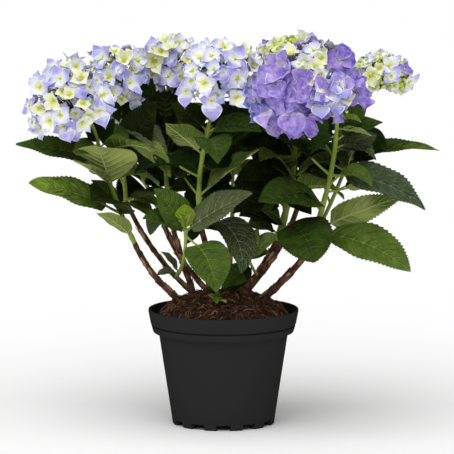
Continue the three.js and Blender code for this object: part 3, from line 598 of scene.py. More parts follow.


# Each leaf tone: upper side, its mottling, veins, underside, and how clearly the smallest veins show,
# whose pale lines are partly a painted highlight on the quilted blade
LEAF_TONES = {
    # The dark and deep tones are painted shade: greens darkened for leaves that lie in shade inside the
    # crown.
    "dark": ("161f08", "202e0d", "3c5122", "3c4520", 0.14),
    "deep": ("2a3913", "3a5018", "6c8742", "5a6a2e", 0.28),
    "net": ("17230b", "243511", "a3b682", "5a6a2e", 0.42),
    "mid": ("475c1a", "5a7526", "9db05e", "74843a", 0.22),
    "fresh": ("344a12", "445e18", "8fa550", "7f8d44", 0.24),
    "bright": ("5d7c16", "7a9a28", "ccd67a", "8a9a44", 0.25),
    "olive": ("5d6e2e", "71823c", "adb974", "9faa62", 0.2),
    "pale": ("7a8a44", "8b9b50", "bcc584", "a6b062", 0.3),
    # The grey tone is a painted sheen: its greyish green stands for the reflection on a glossy leaf.
    "grey": ("434f33", "52603e", "a9b472", "858f56", 0.2),
    "sage": ("303c26", "435236", "8f9e74", "8c965e", 0.46),
    "lime": ("7c9c1c", "96b428", "c2d268", "8fa240", 0.2),
}

tone_names = list(LEAF_TONES)
leaf_tops = []
leaf_veins = []
leaf_unders = []
for tone, (top, mottle, vein, under, clear) in LEAF_TONES.items():
    shine = 0.03 if tone in ("dark", "deep") else 0.12
    leaf_tops.append(surface(f"leaf_{tone}", top, 0.5, 0.4, 420, mottle, 70, shine, (vein, clear)))
    leaf_veins.append(surface(f"vein_{tone}", vein, 0.55, 0.15, 500, specular=0.2))
    leaf_unders.append(surface(f"under_{tone}", under, 0.75, 0.4, 460, top, 25, 0.05, (vein, clear)))

# The sepals' colours: from the green heart through white to blue, and from pale to violet
SEPAL_COLOURS = {
    "lime": "c3d05c",
    "yellow": "dfe284",
    "cream": "edefc0",
    "white": "f4f4f6",
    "ice": "e2e4f6",
    "pale": "cfcff2",
    "soft": "bcb9ee",
    "lilac": "a8a1e8",
    "blue": "938cdf",
    "deep": "7671cc",
    "dusk": "464a96",
    "blush": "d2c4ee",
    "mauve": "a48ed9",
    "orchid": "9179ce",
    "purple": "7f66c4",
    "violet": "6955b6",
}
sepal_names = list(SEPAL_COLOURS)
sepal_materials = [surface(f"sepal_{name}", code, 0.6, 0.12, 380, paler(code, 0.35), 130, 0.12)
                   for name, code in SEPAL_COLOURS.items()]

# Each floret tone: the colours of its sepals from heart to tip, then that of their edge
FLORET_TONES = {
    "cream": ("lime", "yellow", "cream", "cream", "cream", "white", "white"),
    "fading": ("yellow", "cream", "white", "ice", "pale", "soft", "white"),
    "pale": ("yellow", "white", "ice", "pale", "soft", "lilac", "white"),
    "lilac": ("cream", "ice", "soft", "lilac", "lilac", "blue", "ice"),
    "blue": ("white", "pale", "lilac", "blue", "blue", "deep", "ice"),
    "deep": ("ice", "soft", "lilac", "blue", "blue", "deep", "soft"),
    "dusk": ("pale", "blue", "deep", "dusk", "dusk", "dusk", "lilac"),
    "mauve": ("white", "blush", "mauve", "mauve", "mauve", "orchid", "blush"),
    "purple": ("blush", "mauve", "orchid", "orchid", "purple", "purple", "mauve"),
    "violet": ("mauve", "orchid", "purple", "purple", "violet", "violet", "orchid"),
}

# Each head's mix: the tones that its florets draw from at its top, in its middle and at its brim
HEAD_MIXES = {
    "young": (("cream", "fading", "pale", "lilac"), ("cream", "fading", "pale", "lilac", "blue"),
              ("pale", "lilac", "lilac", "blue", "deep")),
    "bud": (("cream", "cream", "fading"), ("cream", "cream", "fading", "pale", "blue"),
            ("cream", "fading", "pale", "lilac", "blue")),
    "full": (("cream", "fading", "pale", "mauve"), ("purple", "purple", "violet", "mauve"),
             ("purple", "violet", "purple", "deep")),
}

green_stem = surface("green_stem", "7c9238", 0.6, 0.3, 300, second="9cab50", patch=40, specular=0.15)
young_stem = surface("flower_stalk", "94a848", 0.6, 0.2, 400, specular=0.15)
# The stalks inside the heads take a darker green, which is painted shade for the inside of the heads.
inner_stem = surface("inner_stalk", "4d5e28", 0.7, 0.2, 400, specular=0.1)
bud_green = surface("bud_green", "c4d444", 0.6, 0.2, 500, specular=0.15)
bud_pale = surface("bud_pale", "dde684", 0.6, 0.2, 500, specular=0.15)
bark = surface("bark", "33231a", 0.85, 1.2, 260, second="6b4a36", patch=110, specular=0.1)
peeling = surface("peeling_bark", "7d5c42", 0.85, 0.6, 350, second="ad8d68", patch=160, specular=0.1)
cut_wood = surface("cut_wood", "9c8762", 0.8, 0.4, 400)
peat = surface("peat", "20160e", 0.97, 1.6, 330, second="463020", patch=150, specular=0.1)
fibre = surface("root_fibre", "523827", 0.9, 0.3, 500, second="7d5a40", patch=90, specular=0.1)
maroon = surface("dark_red_crumb", "2a1116", 0.95, 0.9, 420, second="4a2430", patch=220, specular=0.1)
root_thread = surface("root_thread", "8a6a4c", 0.9, 0.3, 500, second="b0906a", patch=90, specular=0.1)
crumb = surface("peat_crumb", "241811", 0.95, 0.9, 420, second="4c3626", patch=220, specular=0.1)
plastic = surface("pot_plastic", "2d2d2d", 0.5, 0.12, 900, specular=0)


# Numbers and curves

HASH_STRETCH = 43758.5453


def chance(seed, index):
    """A repeatable number from 0 to 1 for a place in the rule."""
    wave = math.sin(seed * 127.1 + index * 311.7) * HASH_STRETCH
    return wave - math.floor(wave)


def spread(seed, index, low, high):
    return low + (high - low) * chance(seed, index)


def mixed_grid(rows, columns, seed):
    """A repeatable number from 0 to 1 for each cell of a grid."""
    row, column = np.arange(rows)[:, None], np.arange(columns)[None, :]
    wave = np.sin(row * 12.99 + column * 78.23 + seed * 37.7) * HASH_STRETCH
    return wave - np.floor(wave)


def unit(vector):
    return vector / np.linalg.norm(vector)


def spots(start, control, end, shares):
    """Points on the curve from start to end that bends towards control."""
    t = np.asarray(shares, float)[:, None]
    a, b, c = (np.array(p, float) for p in (start, control, end))
    return (1 - t) ** 2 * a + 2 * t * (1 - t) * b + t ** 2 * c


def heading_at(start, control, end, t):
    a, b, c = (np.array(p, float) for p in (start, control, end))
    return unit(2 * (1 - t) * (b - a) + 2 * t * (c - b))


def stem_spots(shoot, shares):
    return spots(shoot["node"], shoot["lift"], shoot["top"], shares)


def angles(count):
    """Evenly spaced angles around a ring."""
    return np.arange(count) * 2 * math.pi / count


# Meshes: a part is its points, its four-cornered faces and each face's place in the list of materials


def set_out(name, data):
    """An object with this data, put in the scene."""
    made = bpy.data.objects.new(name, data)
    bpy.context.scene.collection.objects.link(made)
    return made


def piece(name, parts, materials, nodes, smooth_angle=40):
    """Joins parts into one object that rides on the plant's only body and replaces the nodes."""
    points = []
    faces = []
    zones = []
    count = 0
    for part_points, part_faces, part_zones in parts:
        points.append(part_points)
        faces.append(np.asarray(part_faces) + count)
        zones.append(np.broadcast_to(part_zones, len(part_faces)))
        count += len(part_points)
    points = np.concatenate(points) * MM
    faces = np.concatenate(faces)
    mesh = bpy.data.meshes.new(name)
    mesh.from_pydata(points.tolist(), [], faces.tolist())
    for material in materials:
        mesh.materials.append(material)
    mesh.polygons.foreach_set("material_index", np.concatenate(zones).astype(np.int32))
    mesh.polygons.foreach_set("use_smooth", np.ones(len(faces), bool))
    mesh.update()
    mesh.set_sharp_from_angle(angle=math.radians(smooth_angle))
    made = set_out(name, mesh)
    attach(made, "root")
    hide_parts(*nodes)
    print(name, 2 * len(faces), "triangles")


def cap(ring, flip):
    """Faces that close an even ring of corners."""
    faces = [[ring[0], ring[k], ring[k + 1], ring[k + 2]] for k in range(1, len(ring) - 2, 2)]
    return [face[::-1] for face in faces] if flip else faces


def sleeve(rings, sides):
    """Faces between rings of corners that follow each other, closed at both ends."""
    here = np.arange(rings - 1)[:, None] * sides + np.arange(sides)[None, :]
    beside = np.arange(rings - 1)[:, None] * sides + (np.arange(sides)[None, :] + 1) % sides
    faces = np.stack([here, beside, beside + sides, here + sides], -1).reshape(-1, 4)
    last = (rings - 1) * sides
    ends = cap(list(range(sides)), True) + cap(list(range(last, last + sides)), False)
    return np.concatenate([faces, np.array(ends)])


def circle(radius, height, sides):
    """Corners around the pot's axis."""
    return [(radius * math.cos(a), radius * math.sin(a), height) for a in angles(sides)]


def sheet(points, offset, flip):
    """The points and faces of a thin closed shape: a grid, and its inner points set down by the offset."""
    rows, columns = points.shape[:2]
    upper = np.arange(rows * columns).reshape(rows, columns)
    lower = upper.copy()
    inner = (rows - 2) * (columns - 2)
    lower[1:-1, 1:-1] = rows * columns + np.arange(inner).reshape(rows - 2, columns - 2)
    below = (points[1:-1, 1:-1] - offset).reshape(-1, 3)
    faces = []
    for grid, turned_over in ((upper, flip), (lower, not flip)):
        a, b, c, d = grid[:-1, :-1], grid[1:, :-1], grid[1:, 1:], grid[:-1, 1:]
        corners = (a, d, c, b) if turned_over else (a, b, c, d)
        faces.append(np.stack(corners, -1).reshape(-1, 4))
    return np.concatenate([points.reshape(-1, 3), below]), np.concatenate(faces)


def carried_frames(path):
    """A side and a front direction at each point of a path, which turn with it and don't twist."""
    tangents = np.gradient(path, axis=0)
    tangents /= np.linalg.norm(tangents, axis=1)[:, None]
    side = np.cross(tangents[0], (0.6, -0.8, 0.05))
    sides = []
    for tangent in tangents:
        side = unit(side - tangent * side.dot(tangent))
        sides.append(side)
    sides = np.array(sides)
    return tangents, sides, np.cross(tangents, sides)


def tube(path, radii, corners, zone):
    """A round limb along a path. radii has one row for each point, of one radius or one a corner."""
    path = np.asarray(path, float)
    _, sides, fronts = carried_frames(path)
    around = angles(corners)
    radii = np.asarray(radii, float)
    radii = np.broadcast_to(radii[:, None] if radii.ndim == 1 else radii, (len(path), corners))
    ring = sides[:, None] * np.cos(around)[None, :, None] + fronts[:, None] * np.sin(around)[None, :, None]
    points = path[:, None] + ring * radii[:, :, None]
    return points.reshape(-1, 3), sleeve(len(path), corners), zone


def bead(centre, direction, radius, length, zone):
    """A small closed bud along a direction."""
    profile = ((-0.5, 0.25), (-0.3, 0.85), (0, 1), (0.28, 0.75), (0.5, 0.15))
    path = [centre + direction * length * place for place, _ in profile]
    return tube(path, [radius * share for _, share in profile], 6, zone)


# Leaves: the source's rule


def leaf_frames(leaf, shares):
    """A leaf's axis at shares of its blade, with the directions along, normal and across."""
    s = np.asarray(shares, float)
    turn = math.radians(leaf["droop"])
    rise = leaf["rise"] - turn * s
    middle = leaf["rise"] - turn * s / 2
    chord = leaf["length"] * s * np.sinc(turn * s / 2 / math.pi)
    out = np.array([math.cos(leaf["heading"]), math.sin(leaf["heading"]), 0])
    reach = leaf["petiole"] * math.cos(leaf["rise"]) + chord * np.cos(middle)
    climb = leaf["petiole"] * math.sin(leaf["rise"]) + chord * np.sin(middle)
    spot = leaf["root"] + reach[..., None] * out + climb[..., None] * UP
    along = np.cos(rise)[..., None] * out + np.sin(rise)[..., None] * UP
    level = -np.sin(rise)[..., None] * out + np.cos(rise)[..., None] * UP
    roll = math.radians(leaf["roll"])
    normal = level * math.cos(roll) + np.cross(along, level) * math.sin(roll)
    return spot, along, normal, np.cross(along, normal)


def ovate(s):
    """Half the blade's width along its length: ovate with a drawn-out tip."""
    return np.minimum(1, 2.38 * s ** 0.5 * (1 - s) ** 0.8)


def half_width(leaf, s):
    return leaf["length"] * leaf["width"] * ovate(s) / 2


def leaf_to(root, leaf):
    """The rise and length that bring a leaf with this petiole and droop to its tip."""
    reach = np.array(leaf["tip"], float) - root
    half = math.radians(leaf["droop"]) / 2
    straight = math.sqrt(reach.dot(reach) - (leaf["petiole"] * math.sin(half)) ** 2)
    chord = straight - leaf["petiole"] * math.cos(half)
    lag = math.atan2(chord * math.sin(half), leaf["petiole"] + chord * math.cos(half))
    return {
        **leaf,
        "root": root,
        "heading": math.atan2(reach[1], reach[0]),
        "rise": math.atan2(reach[2], math.hypot(reach[0], reach[1])) + lag,
        "length": chord * half / math.sin(half),
    }


def blade_samples(leaf):
    s = np.arange(1, SAMPLE_ROWS + 1) / SAMPLE_ROWS
    spot, _, _, side = leaf_frames(leaf, s)
    across = half_width(leaf, s)[:, None] * np.array([-1, -0.5, 0, 0.5, 1])
    return (spot[:, None] + side[:, None] * across[..., None]).reshape(-1, 3)


def petiole_samples(leaf):
    end = leaf_frames(leaf, [0.0])[0][0]
    return np.array([leaf["root"] + (end - leaf["root"]) * share for share in (0.4, 0.7, 1)])


def ruled_leaf(shoot, seed, pair, side, attempt):
    """Opposite pairs, each crosswise to the one below. Each try turns a leaf a little further."""
    at = 0.1 + 0.84 * (pair + 0.5) / shoot["pairs"]
    index = pair * 100 + side * 50 + attempt * 8
    stray = 12 + 9 * attempt
    heading = shoot["heading"] + 90 * pair + 180 * side + spread(seed, index, -stray, stray)
    return {
        "root": stem_spots(shoot, [at])[0],
        "heading": math.radians(heading),
        "rise": math.radians(spread(seed, index + 1, *LEAF_RISES)),
        "petiole": spread(seed, index + 2, *PETIOLE_LENGTHS),
        "length": spread(seed, index + 3, *LEAF_LENGTHS) * (1 - 0.22 * at) * (1 - 0.05 * attempt),
        "droop": spread(seed, index + 4, *LEAF_DROOPS),
        "width": LEAF_WIDTH,
        "roll": spread(seed, index + 5, *LEAF_ROLLS),
        # Three in four take the dark or deep tone, which is painted shade for the leaves inside the crown.
        "tone": ("dark", "dark", "deep", "mid")[int(4 * chance(seed, index + 6))],
        "at": at,
    }


def near(samples, others, distance):
    gaps = samples[:, None] - others[None, :]
    return bool(((gaps ** 2).sum(-1) < distance ** 2).any())


def inside_head(samples):
    for head in heads:
        away = np.linalg.norm(samples - np.array(head["centre"]), axis=1)
        if (away < head["radius"] + HEAD_CLEARANCE).any():
            return True
    return False


def outside_crown(samples):
    x, y, z = samples.T
    low = z < CROWN_FLOOR + CROWN_FLOOR_SLOPE * np.maximum(0, y)
    wide = (x < CROWN_LEFT) | (x > CROWN_RIGHT) | (np.abs(y) > CROWN_DEPTH)
    return bool((low | wide).any())


def blocked(mass, masses, blade, petiole):
    """Whether a leaf of this mass would come too near its own blades or another mass."""
    for other in masses:
        if other is mass:
            if any(near(blade, taken, OWN_LEAF_CLEARANCE) for taken in other["blades"]):
                return True
            continue
        for taken in [np.array(other["limbs"]), *other["blades"]]:
            if near(blade, taken, LEAF_CLEARANCE) or near(petiole, taken, LEAF_CLEARANCE):
                return True
    return False


def leaf_of(shoot, row):
    leaf = dict(zip(LEAF_VALUES, row))
    drawn = {**leaf, **row[7]} if len(row) > 7 else leaf
    root, drawn_root = (stem_spots(shoot, [form["at"]])[0] for form in (leaf, drawn))
    return {**leaf_to(root, leaf), "drawn": leaf_to(drawn_root, drawn)}


def grow_leaves():
    masses = []
    for shoot in shoots:
        leaves = [leaf_of(shoot, row) for row in shoot["leaves"]]
        limbs = list(stem_spots(shoot, np.linspace(0, 1, 41)))
        for leaf in leaves:
            limbs.extend(petiole_samples(leaf))
        blades = [blade_samples(leaf) for leaf in leaves]
        masses.append({"shoot": shoot, "leaves": leaves, "limbs": limbs, "blades": blades})
    for number, mass in enumerate(masses):
        for pair in range(mass["shoot"]["pairs"]):
            for side in (0, 1):
                for attempt in range(LEAF_TRIES):
                    leaf = ruled_leaf(mass["shoot"], number + 1, pair, side, attempt)
                    blade = blade_samples(leaf)
                    petiole = petiole_samples(leaf)
                    if outside_crown(blade) or inside_head(blade):
                        continue
                    if blocked(mass, masses, blade, petiole):
                        continue
                    mass["leaves"].append(leaf)
                    mass["blades"].append(blade)
                    mass["limbs"].extend(petiole)
                    break
    return masses


# Leaves: the finer blade over each of the rule's


def blade_columns():
    """Places along the midrib: a few before the first side vein, then evenly from vein to vein."""
    between = np.linspace(FIRST_VEIN, LAST_VEIN, VEINS * COLUMNS_PER_VEIN + 1)
    return np.concatenate([[0, 0.018], between, [0.93, 0.96, 0.985, 1]])


def drawn_half(leaf, s):
    """Half the finer blade's width: the rule's outline with its tip drawn out."""
    return half_width(leaf, s ** leaf["belly"]) * (1 - leaf["taper"] * s ** 6)


def blade_surface(leaf, p, t):
    """Points of the blade where the side vein from p on the midrib reaches t of the half width."""
    reach = np.abs(t)
    s = np.clip(p + (1 - p) * (VEIN_LEAN + VEIN_SWEEP * p) * reach ** 1.4, 0, 1)
    spot, _, normal, side = leaf_frames(leaf, s)
    half = np.maximum(drawn_half(leaf, s), 1.3 * (1 - s) + 0.2)
    size = leaf["length"] / 100
    phase = np.clip((p - FIRST_VEIN) / (LAST_VEIN - FIRST_VEIN), 0, 1) * VEINS
    bulge = np.abs(np.sin(math.pi * phase)) ** 0.8
    quilt = QUILT * size * bulge * (1 - reach ** 4) * np.minimum(1, reach / 0.15) * ovate(s)
    ripple = np.sin(2 * math.pi * (EDGE_WAVES * s + leaf["phase"]) + np.where(t > 0, EDGE_WAVE_SHIFT, 0))
    wave = leaf["wave"] * size * reach ** 2 * ripple
    lift = half * reach * math.tan(math.radians(LEAF_FOLD)) + quilt + wave
    return spot + side * (half * t)[..., None] + normal * lift[..., None], normal, side


def blade(leaf, zones):
    """The leaf's toothed blade as one thin closed shape. zones are those of its upper side and underside,
    each near the stalk and near the tip; one gives way to the other in a scatter."""
    p = blade_columns()
    rows = np.array([-r for r in BLADE_ROWS[:0:-1]] + list(BLADE_ROWS))
    grid_p, grid_t = np.meshgrid(p, rows, indexing="ij")
    points, normal, side = blade_surface(leaf, grid_p, grid_t)
    tooth = TOOTH * leaf["length"] / 100 * (np.arange(len(p)) % 2) * ovate(p)
    forward = np.gradient(points[:, len(rows) // 2], axis=0)
    for row, sign in ((0, -1), (-1, 1)):
        points[:, row] += side[:, row] * (sign * tooth)[:, None]
        points[:, row] += forward * (TOOTH_LEAN * (tooth > 0))[:, None]
    offset = normal[1:-1, 1:-1] * BLADE_THICKNESS
    scatter = mixed_grid(len(p) - 1, len(rows) - 1, leaf["phase"])
    near_tip = (grid_p[:-1, :-1] + TONE_BLUR * (scatter - 0.5) > TIP_START).reshape(-1)
    dealt = [np.where(near_tip, tip, base) for base, tip in zones]
    return *sheet(points, offset, True), np.concatenate(dealt)


def rib(leaf, p, t, widths, above, below, zone):
    """A vein through the blade: a slim ridge with four corners, low above and prouder below."""
    points, normal, side = blade_surface(leaf, p, t)
    forward = np.gradient(points, axis=0)
    forward /= np.linalg.norm(forward, axis=1)[:, None]
    across = np.cross(forward, normal)
    widths = np.asarray(widths, float)[:, None]
    share = widths / widths.max()
    middle = points - normal * BLADE_THICKNESS / 2
    corners = [middle + across * widths / 2, middle + normal * (BLADE_THICKNESS / 2 + above) * share ** 0.3,
               middle - across * widths / 2, middle - normal * (BLADE_THICKNESS / 2 + below) * share ** 0.3]
    stacked = np.stack(corners, 1).reshape(-1, 3)
    return stacked, sleeve(len(points), 4), zone


def veins(leaf, base, tip):
    """The midrib and the side veins, in the vein tone of the leaf's base and of its tip."""
    size = leaf["length"] / 100
    parts = []
    s = np.linspace(0, 0.99, 18)
    widths = (MIDRIB_WIDTH - MIDRIB_TAPER * s) * size
    parts.append(rib(leaf, s, np.zeros(len(s)), widths, *MIDRIB_HEIGHTS, base))
    across = np.array([0.02, 0.12, 0.28, 0.46, 0.64, 0.8, 0.93])
    for k in range(VEINS):
        place = FIRST_VEIN + (LAST_VEIN - FIRST_VEIN) * k / VEINS
        width = (VEIN_WIDTH - VEIN_TAPER * across) * size * (1 - 0.4 * place)
        zone = tip if place > TIP_START else base
        for sign in (-1, 1):
            row = np.full(len(across), place)
            parts.append(rib(leaf, row, sign * across, width, *VEIN_HEIGHTS, zone))
    return parts


def petiole(leaf):
    """The leaf's stalk, thicker where it clasps the stem."""
    end = leaf_frames(leaf, [0.0, 0.03])[0]
    start = leaf["root"]
    sag = np.array([0, 0, -0.05 * leaf["petiole"]])
    path = spots(start, (start + end[0]) / 2 + sag, end[0], np.linspace(0, 1, 7))
    path = np.concatenate([path, end[1:]])
    size = min(1.1, 0.45 + leaf["length"] / 160)
    return tube(path, np.array(PETIOLE_RADII) * size, 8, 0)


# Flower heads


def head_frame(centre, start):
    axis = unit(centre - start)
    axis = unit(axis + HEAD_LIFT * UP)
    side = unit(np.cross((0, 1, 0), axis))
    return axis, side, np.cross(axis, side)


def floret_places(head, seed, frames, count, low, high):
    """The source's golden-angle spiral over the dome, with this many places between two shares of its
    radius."""
    axis, side, front = frames
    lowest = math.cos(math.radians(HEAD_SPREAD))
    places = []
    for k in range(count):
        height = 1 - (1 - lowest) * (k + 0.5) / count
        around = math.radians(k * GOLDEN_ANGLE)
        across = math.sqrt(1 - height * height)
        out = side * math.cos(around) * across + front * math.sin(around) * across
        normal = unit(out + axis * (height + 0.15))
        out = out + axis * height * head["depth"]
        spot = np.array(head["centre"]) + out * head["radius"] * spread(seed, k, low, high)
        places.append((spot, normal, spread(seed, k + 50, 0, 90), height))
    return places


# Where a sepal's points lie, as shares of its length and of half its width, and from which row on its
# margin has the colour of the edge
SEPAL_ALONG = np.array([0, 0.1, 0.22, 0.36, 0.5, 0.64, 0.78, 0.9, 1])
SEPAL_ACROSS = np.array([-1, -0.86, -0.45, 0, 0.45, 0.86, 1])
SEPAL_EDGE_FROM = 3


def sepal(centre, directions, size, form, colours):
    """One broad pointed sepal as a thin closed shape. colours run from its heart to its tip, then comes
    that of its edge."""
    out, beside, up = directions
    s, t = np.meshgrid(SEPAL_ALONG, SEPAL_ACROSS, indexing="ij")
    widest = size * form["width"]
    outline = s ** 0.85 * (1 - s) ** form["point"]
    outline = widest * outline / outline.max() + 0.06 * size * (1 - s)
    outline = np.maximum(outline, SEPAL_LEAST_HALF)
    lift = size * (form["tilt"] * s + form["curl"] * s ** 2)
    lift += size * form["cup"] * t ** 2 * np.sin(math.pi * np.clip(s, 0.05, 1))
    lift += size * form["wave"] * np.sin(2 * math.pi * (1.5 * s + form["phase"])) * t * np.abs(t)
    lift -= size * SEPAL_CREASE * np.exp(-(t / SEPAL_CREASE_WIDTH) ** 2)
    swing = size * form["swing"] * s ** 2
    points = centre + s[..., None] * size * out + (outline * t + swing)[..., None] * beside
    points = points + lift[..., None] * up
    middle = (SEPAL_ALONG[:-1] + SEPAL_ALONG[1:])[:, None] / 2
    away = np.abs(SEPAL_ACROSS[:-1] + SEPAL_ACROSS[1:])[None, :] / 2
    steps = len(colours) - 1
    scatter = mixed_grid(len(SEPAL_ALONG) - 1, len(SEPAL_ACROSS) - 1, form["phase"])
    place = middle * (0.85 + 0.3 * away) + SEPAL_TONE_BLUR * (scatter - 0.5)
    bands = np.clip((place * steps).astype(int), 0, steps - 1)
    bands[SEPAL_EDGE_FROM:, [0, -1]] = steps
    zones = np.array(colours)[bands].reshape(-1)
    return *sheet(points, up * SEPAL_THICKNESS, False), np.concatenate([zones, zones])


def floret(spot, normal, turn, size, seed, index, tone, longer, loose):
    """Four sepals in a cross, two of them under the other two. Young ones still stand up in a cup. longer
    is the lowest sepal's share of the usual length, and loose how strongly the sepals cup and wave."""
    side = unit(np.cross((0.31, 0.17, 0.93), normal))
    front = np.cross(normal, side)
    colours = [sepal_names.index(name) for name in FLORET_TONES[tone]]
    parts = []
    young = tone in ("cream", "fading")
    tilt = spread(seed, index + 3, 0.4, 0.95) if young else spread(seed, index + 3, 0.05, 0.6)
    curl = spread(seed, index + 4, -0.5, 0.1)
    widths, tips = ((0.42, 0.56), (0.95, 1.25)) if loose > 1 else ((0.36, 0.5), (1.15, 1.8))
    for k in range(4):
        angle = math.radians(turn + 90 * k + spread(seed, index + 10 + k, -10, 10))
        out = side * math.cos(angle) + front * math.sin(angle)
        beside = -side * math.sin(angle) + front * math.cos(angle)
        form = {
            "width": spread(seed, index + 20 + k, *widths),
            "tilt": tilt + spread(seed, index + 30 + k, -0.26, 0.26),
            "curl": curl + spread(seed, index + 40 + k, -0.12, 0.12),
            "cup": loose * spread(seed, index + 60 + k, -0.08, 0.2),
            "wave": loose * spread(seed, index + 63 + k, 0.03, 0.09),
            "swing": spread(seed, index + 65 + k, -0.12, 0.12),
            "phase": chance(seed, index + 70 + k),
            "point": spread(seed, index + 74 + k, *tips),
        }
        start = spot + normal * (0.5 if k % 2 else 0.0) + out * 0.4
        length = size * spread(seed, index + 80 + k, 0.86, 1.1)
        if longer > 1:
            length = size * (longer if k == 3 else 0.85)
        parts.append(sepal(start, (out, beside, normal), length, form, colours))
    return parts


def shown_places(head):
    """Place, normal, turn, size, tone and lowest sepal of each floret that is told apart from the front."""
    centre = np.array(head["centre"], float)
    for right, above, size, turn, tone, *longer in shown_florets.get(head["shoot"], []):
        away = (right / head["radius"]) ** 2 + (above / head["radius"] / head["depth"]) ** 2
        toward = -math.sqrt(max(0.04, 1 - away))
        spot = centre + np.array([right, toward * head["radius"] * 0.96, above])
        outward = np.array([right, toward * head["radius"], above / head["depth"]]) / head["radius"]
        normal = unit(outward * 0.6 + np.array([0, -0.5, 0.15]))
        yield spot, normal, turn, size, tone, longer[0] if longer else 1.0


def grow_head(head, number):
    """A head's parts: sepals, and stalks with eyes and buds."""
    seed = number + HEAD_SEED
    shoot = next(each for each in shoots if each["name"] == head["shoot"])
    end = heading_at(shoot["node"], shoot["lift"], shoot["top"], 1)
    start = np.array(shoot["top"], float) + end * GAP
    centre = np.array(head["centre"], float)
    control = start + end * np.linalg.norm(centre - start) * 0.4
    frames = head_frame(centre, start)
    axis = frames[0]
    crown = spots(start, control, centre, np.linspace(0, 1, 9))
    radius = shoot["radii"][1] * STEM_SHARE
    greens = [tube(crown, np.linspace(radius, radius * 0.9, 9), 10, 0)]
    mixes = HEAD_MIXES[head["mix"]]
    shown = list(shown_places(head))
    placed = []
    loose = LOOSE if head["mix"] == "full" else 1
    ruled = floret_places(head, seed, frames, head["florets"], 0.8, 0.92)
    for k, (spot, normal, turn, height) in enumerate(ruled):
        tones = mixes[0 if height > 0.6 else 1 if height > 0.05 else 2]
        tone = tones[int(len(tones) * chance(seed, k * 7 + 400))]
        size = head["size"] * spread(seed, k + 900, 0.8, 1.1) * (0.75 if tone == "cream" else 1)
        if loose > 1 and height > 0.5:
            size *= YOUNG_SHARE
        if shown and normal[1] < SHOWN_FACING:
            spot = centre + (spot - centre) * UNDER_SHARE
            size *= UNDER_SHARE
        placed.append((spot, normal, turn, size, tone, 1.0, 0.5))
    placed += [(*each, 0.42) for each in shown]
    sepals = []
    for k, (spot, normal, turn, size, tone, longer, stray) in enumerate(placed):
        lean = np.array([spread(seed, k * 3 + c + 700, -stray, stray) for c in range(3)])
        normal = unit(normal + lean)
        sepals.extend(floret(spot, normal, turn, size, seed, 1000 + 100 * k, tone, longer, loose))
        eye = 2 if tone in ("blue", "deep") else 1
        greens.append(bead(spot + normal * 1.2, normal, EYE_RADIUS, EYE_LENGTH, eye))
        fork = centre - axis * head["radius"] * spread(seed, k + 950, 0.2, 0.6)
        bend = (fork + spot) / 2 + axis * 0.12 * head["radius"] - normal * 4
        path = spots(fork, bend, spot - normal * 0.5, np.linspace(0, 1, 5))
        greens.append(tube(path, BRANCH_RADII, 6, 3))
    deepest, sizes = (0.85, BIG_BUD_RADII) if head["mix"] == "bud" else (0.6, BUD_RADII)
    buds = floret_places(head, seed + 40, frames, head["buds"], deepest, 0.98)
    for k, (spot, normal, *_) in enumerate(buds):
        stem = spot - normal * BUD_STALK
        greens.append(tube(spots(stem, stem, spot, [0, 0.5, 1]), BUD_STALK_RADII, 4, 3))
        size = spread(seed, k + 1300, *sizes)
        greens.append(bead(spot, normal, size, size * BUD_LENGTH, 1 + int(2 * chance(seed, k + 1500))))
    return sepals, greens


# Canes with their bark


def cane(curve, radii, seed, length_steps=90):
    """The path and rings of radii of a woody cane with long ridges, cracks and swollen nodes."""
    t = np.linspace(0, 1, length_steps)
    path = spots(*curve, t)
    run = np.concatenate([[0], np.cumsum(np.linalg.norm(np.diff(path, axis=0), axis=1))])
    base = radii[0] + (radii[1] - radii[0]) * t
    base = base * (1 + FLARE * (1 - t) ** FLARE_SHORTNESS)
    spacing = spread(seed, 1, *NODE_SPACING)
    joint = np.abs((run / spacing + chance(seed, 2)) % 1 - 0.5) * spacing
    swelling = 1 + NODE_SWELLING * np.exp(-(joint / NODE_REACH) ** 2)
    relief = np.zeros((length_steps, CANE_CORNERS))
    for i in range(length_steps):
        for j, angle in enumerate(angles(CANE_CORNERS)):
            spot = Vector((math.cos(angle) * 1.7, math.sin(angle) * 1.7, run[i] * 0.035 + seed * 7.3))
            ridge = noise.noise(spot * 1.6)
            crack = abs(noise.noise(Vector((spot.x * 2.2, spot.y * 2.2, spot.z * 1.2 + 40))))
            relief[i, j] = RIDGE_RELIEF * ridge - CRACK_RELIEF * max(0, CRACK_WIDTH - crack) / CRACK_WIDTH
    return path, BARK_SHARE * (base * swelling)[:, None] * (1 + relief)


def bark_strip(path, rings, seed, index):
    """A strip of loose bark that lifts off the cane at one end."""
    count = len(path)
    first = int(spread(seed, index, 0.04, 0.8) * count)
    last = min(count - 2, first + int(spread(seed, index + 1, 6, 16)))
    rows = np.arange(first, last + 1)
    if len(rows) < 4:
        return None
    _, sides, fronts = carried_frames(path)
    middle = spread(seed, index + 2, 0, 2 * math.pi)
    width = spread(seed, index + 3, 0.28, 0.6)
    share = np.linspace(0, 1, len(rows))
    taper = np.sin(math.pi * np.clip(share, 0.08, 0.94)) ** 0.5
    points = []
    for layer in (0.25, -0.15):
        for edge in (-1, 1):
            angle = middle + edge * width * taper + 0.3 * share
            radius = rings[rows].mean(1) + 0.3 + layer + 0.8 * share ** 3
            radius = radius + (0.3 if edge > 0 else 0.1) * share
            ring = sides[rows] * np.cos(angle)[:, None] + fronts[rows] * np.sin(angle)[:, None]
            points.append(path[rows] + ring * radius[:, None])
    order = [points[0], points[1], points[3], points[2]]
    return np.stack(order, 1).reshape(-1, 3), sleeve(len(rows), 4), 1


# The woody canes and the stub

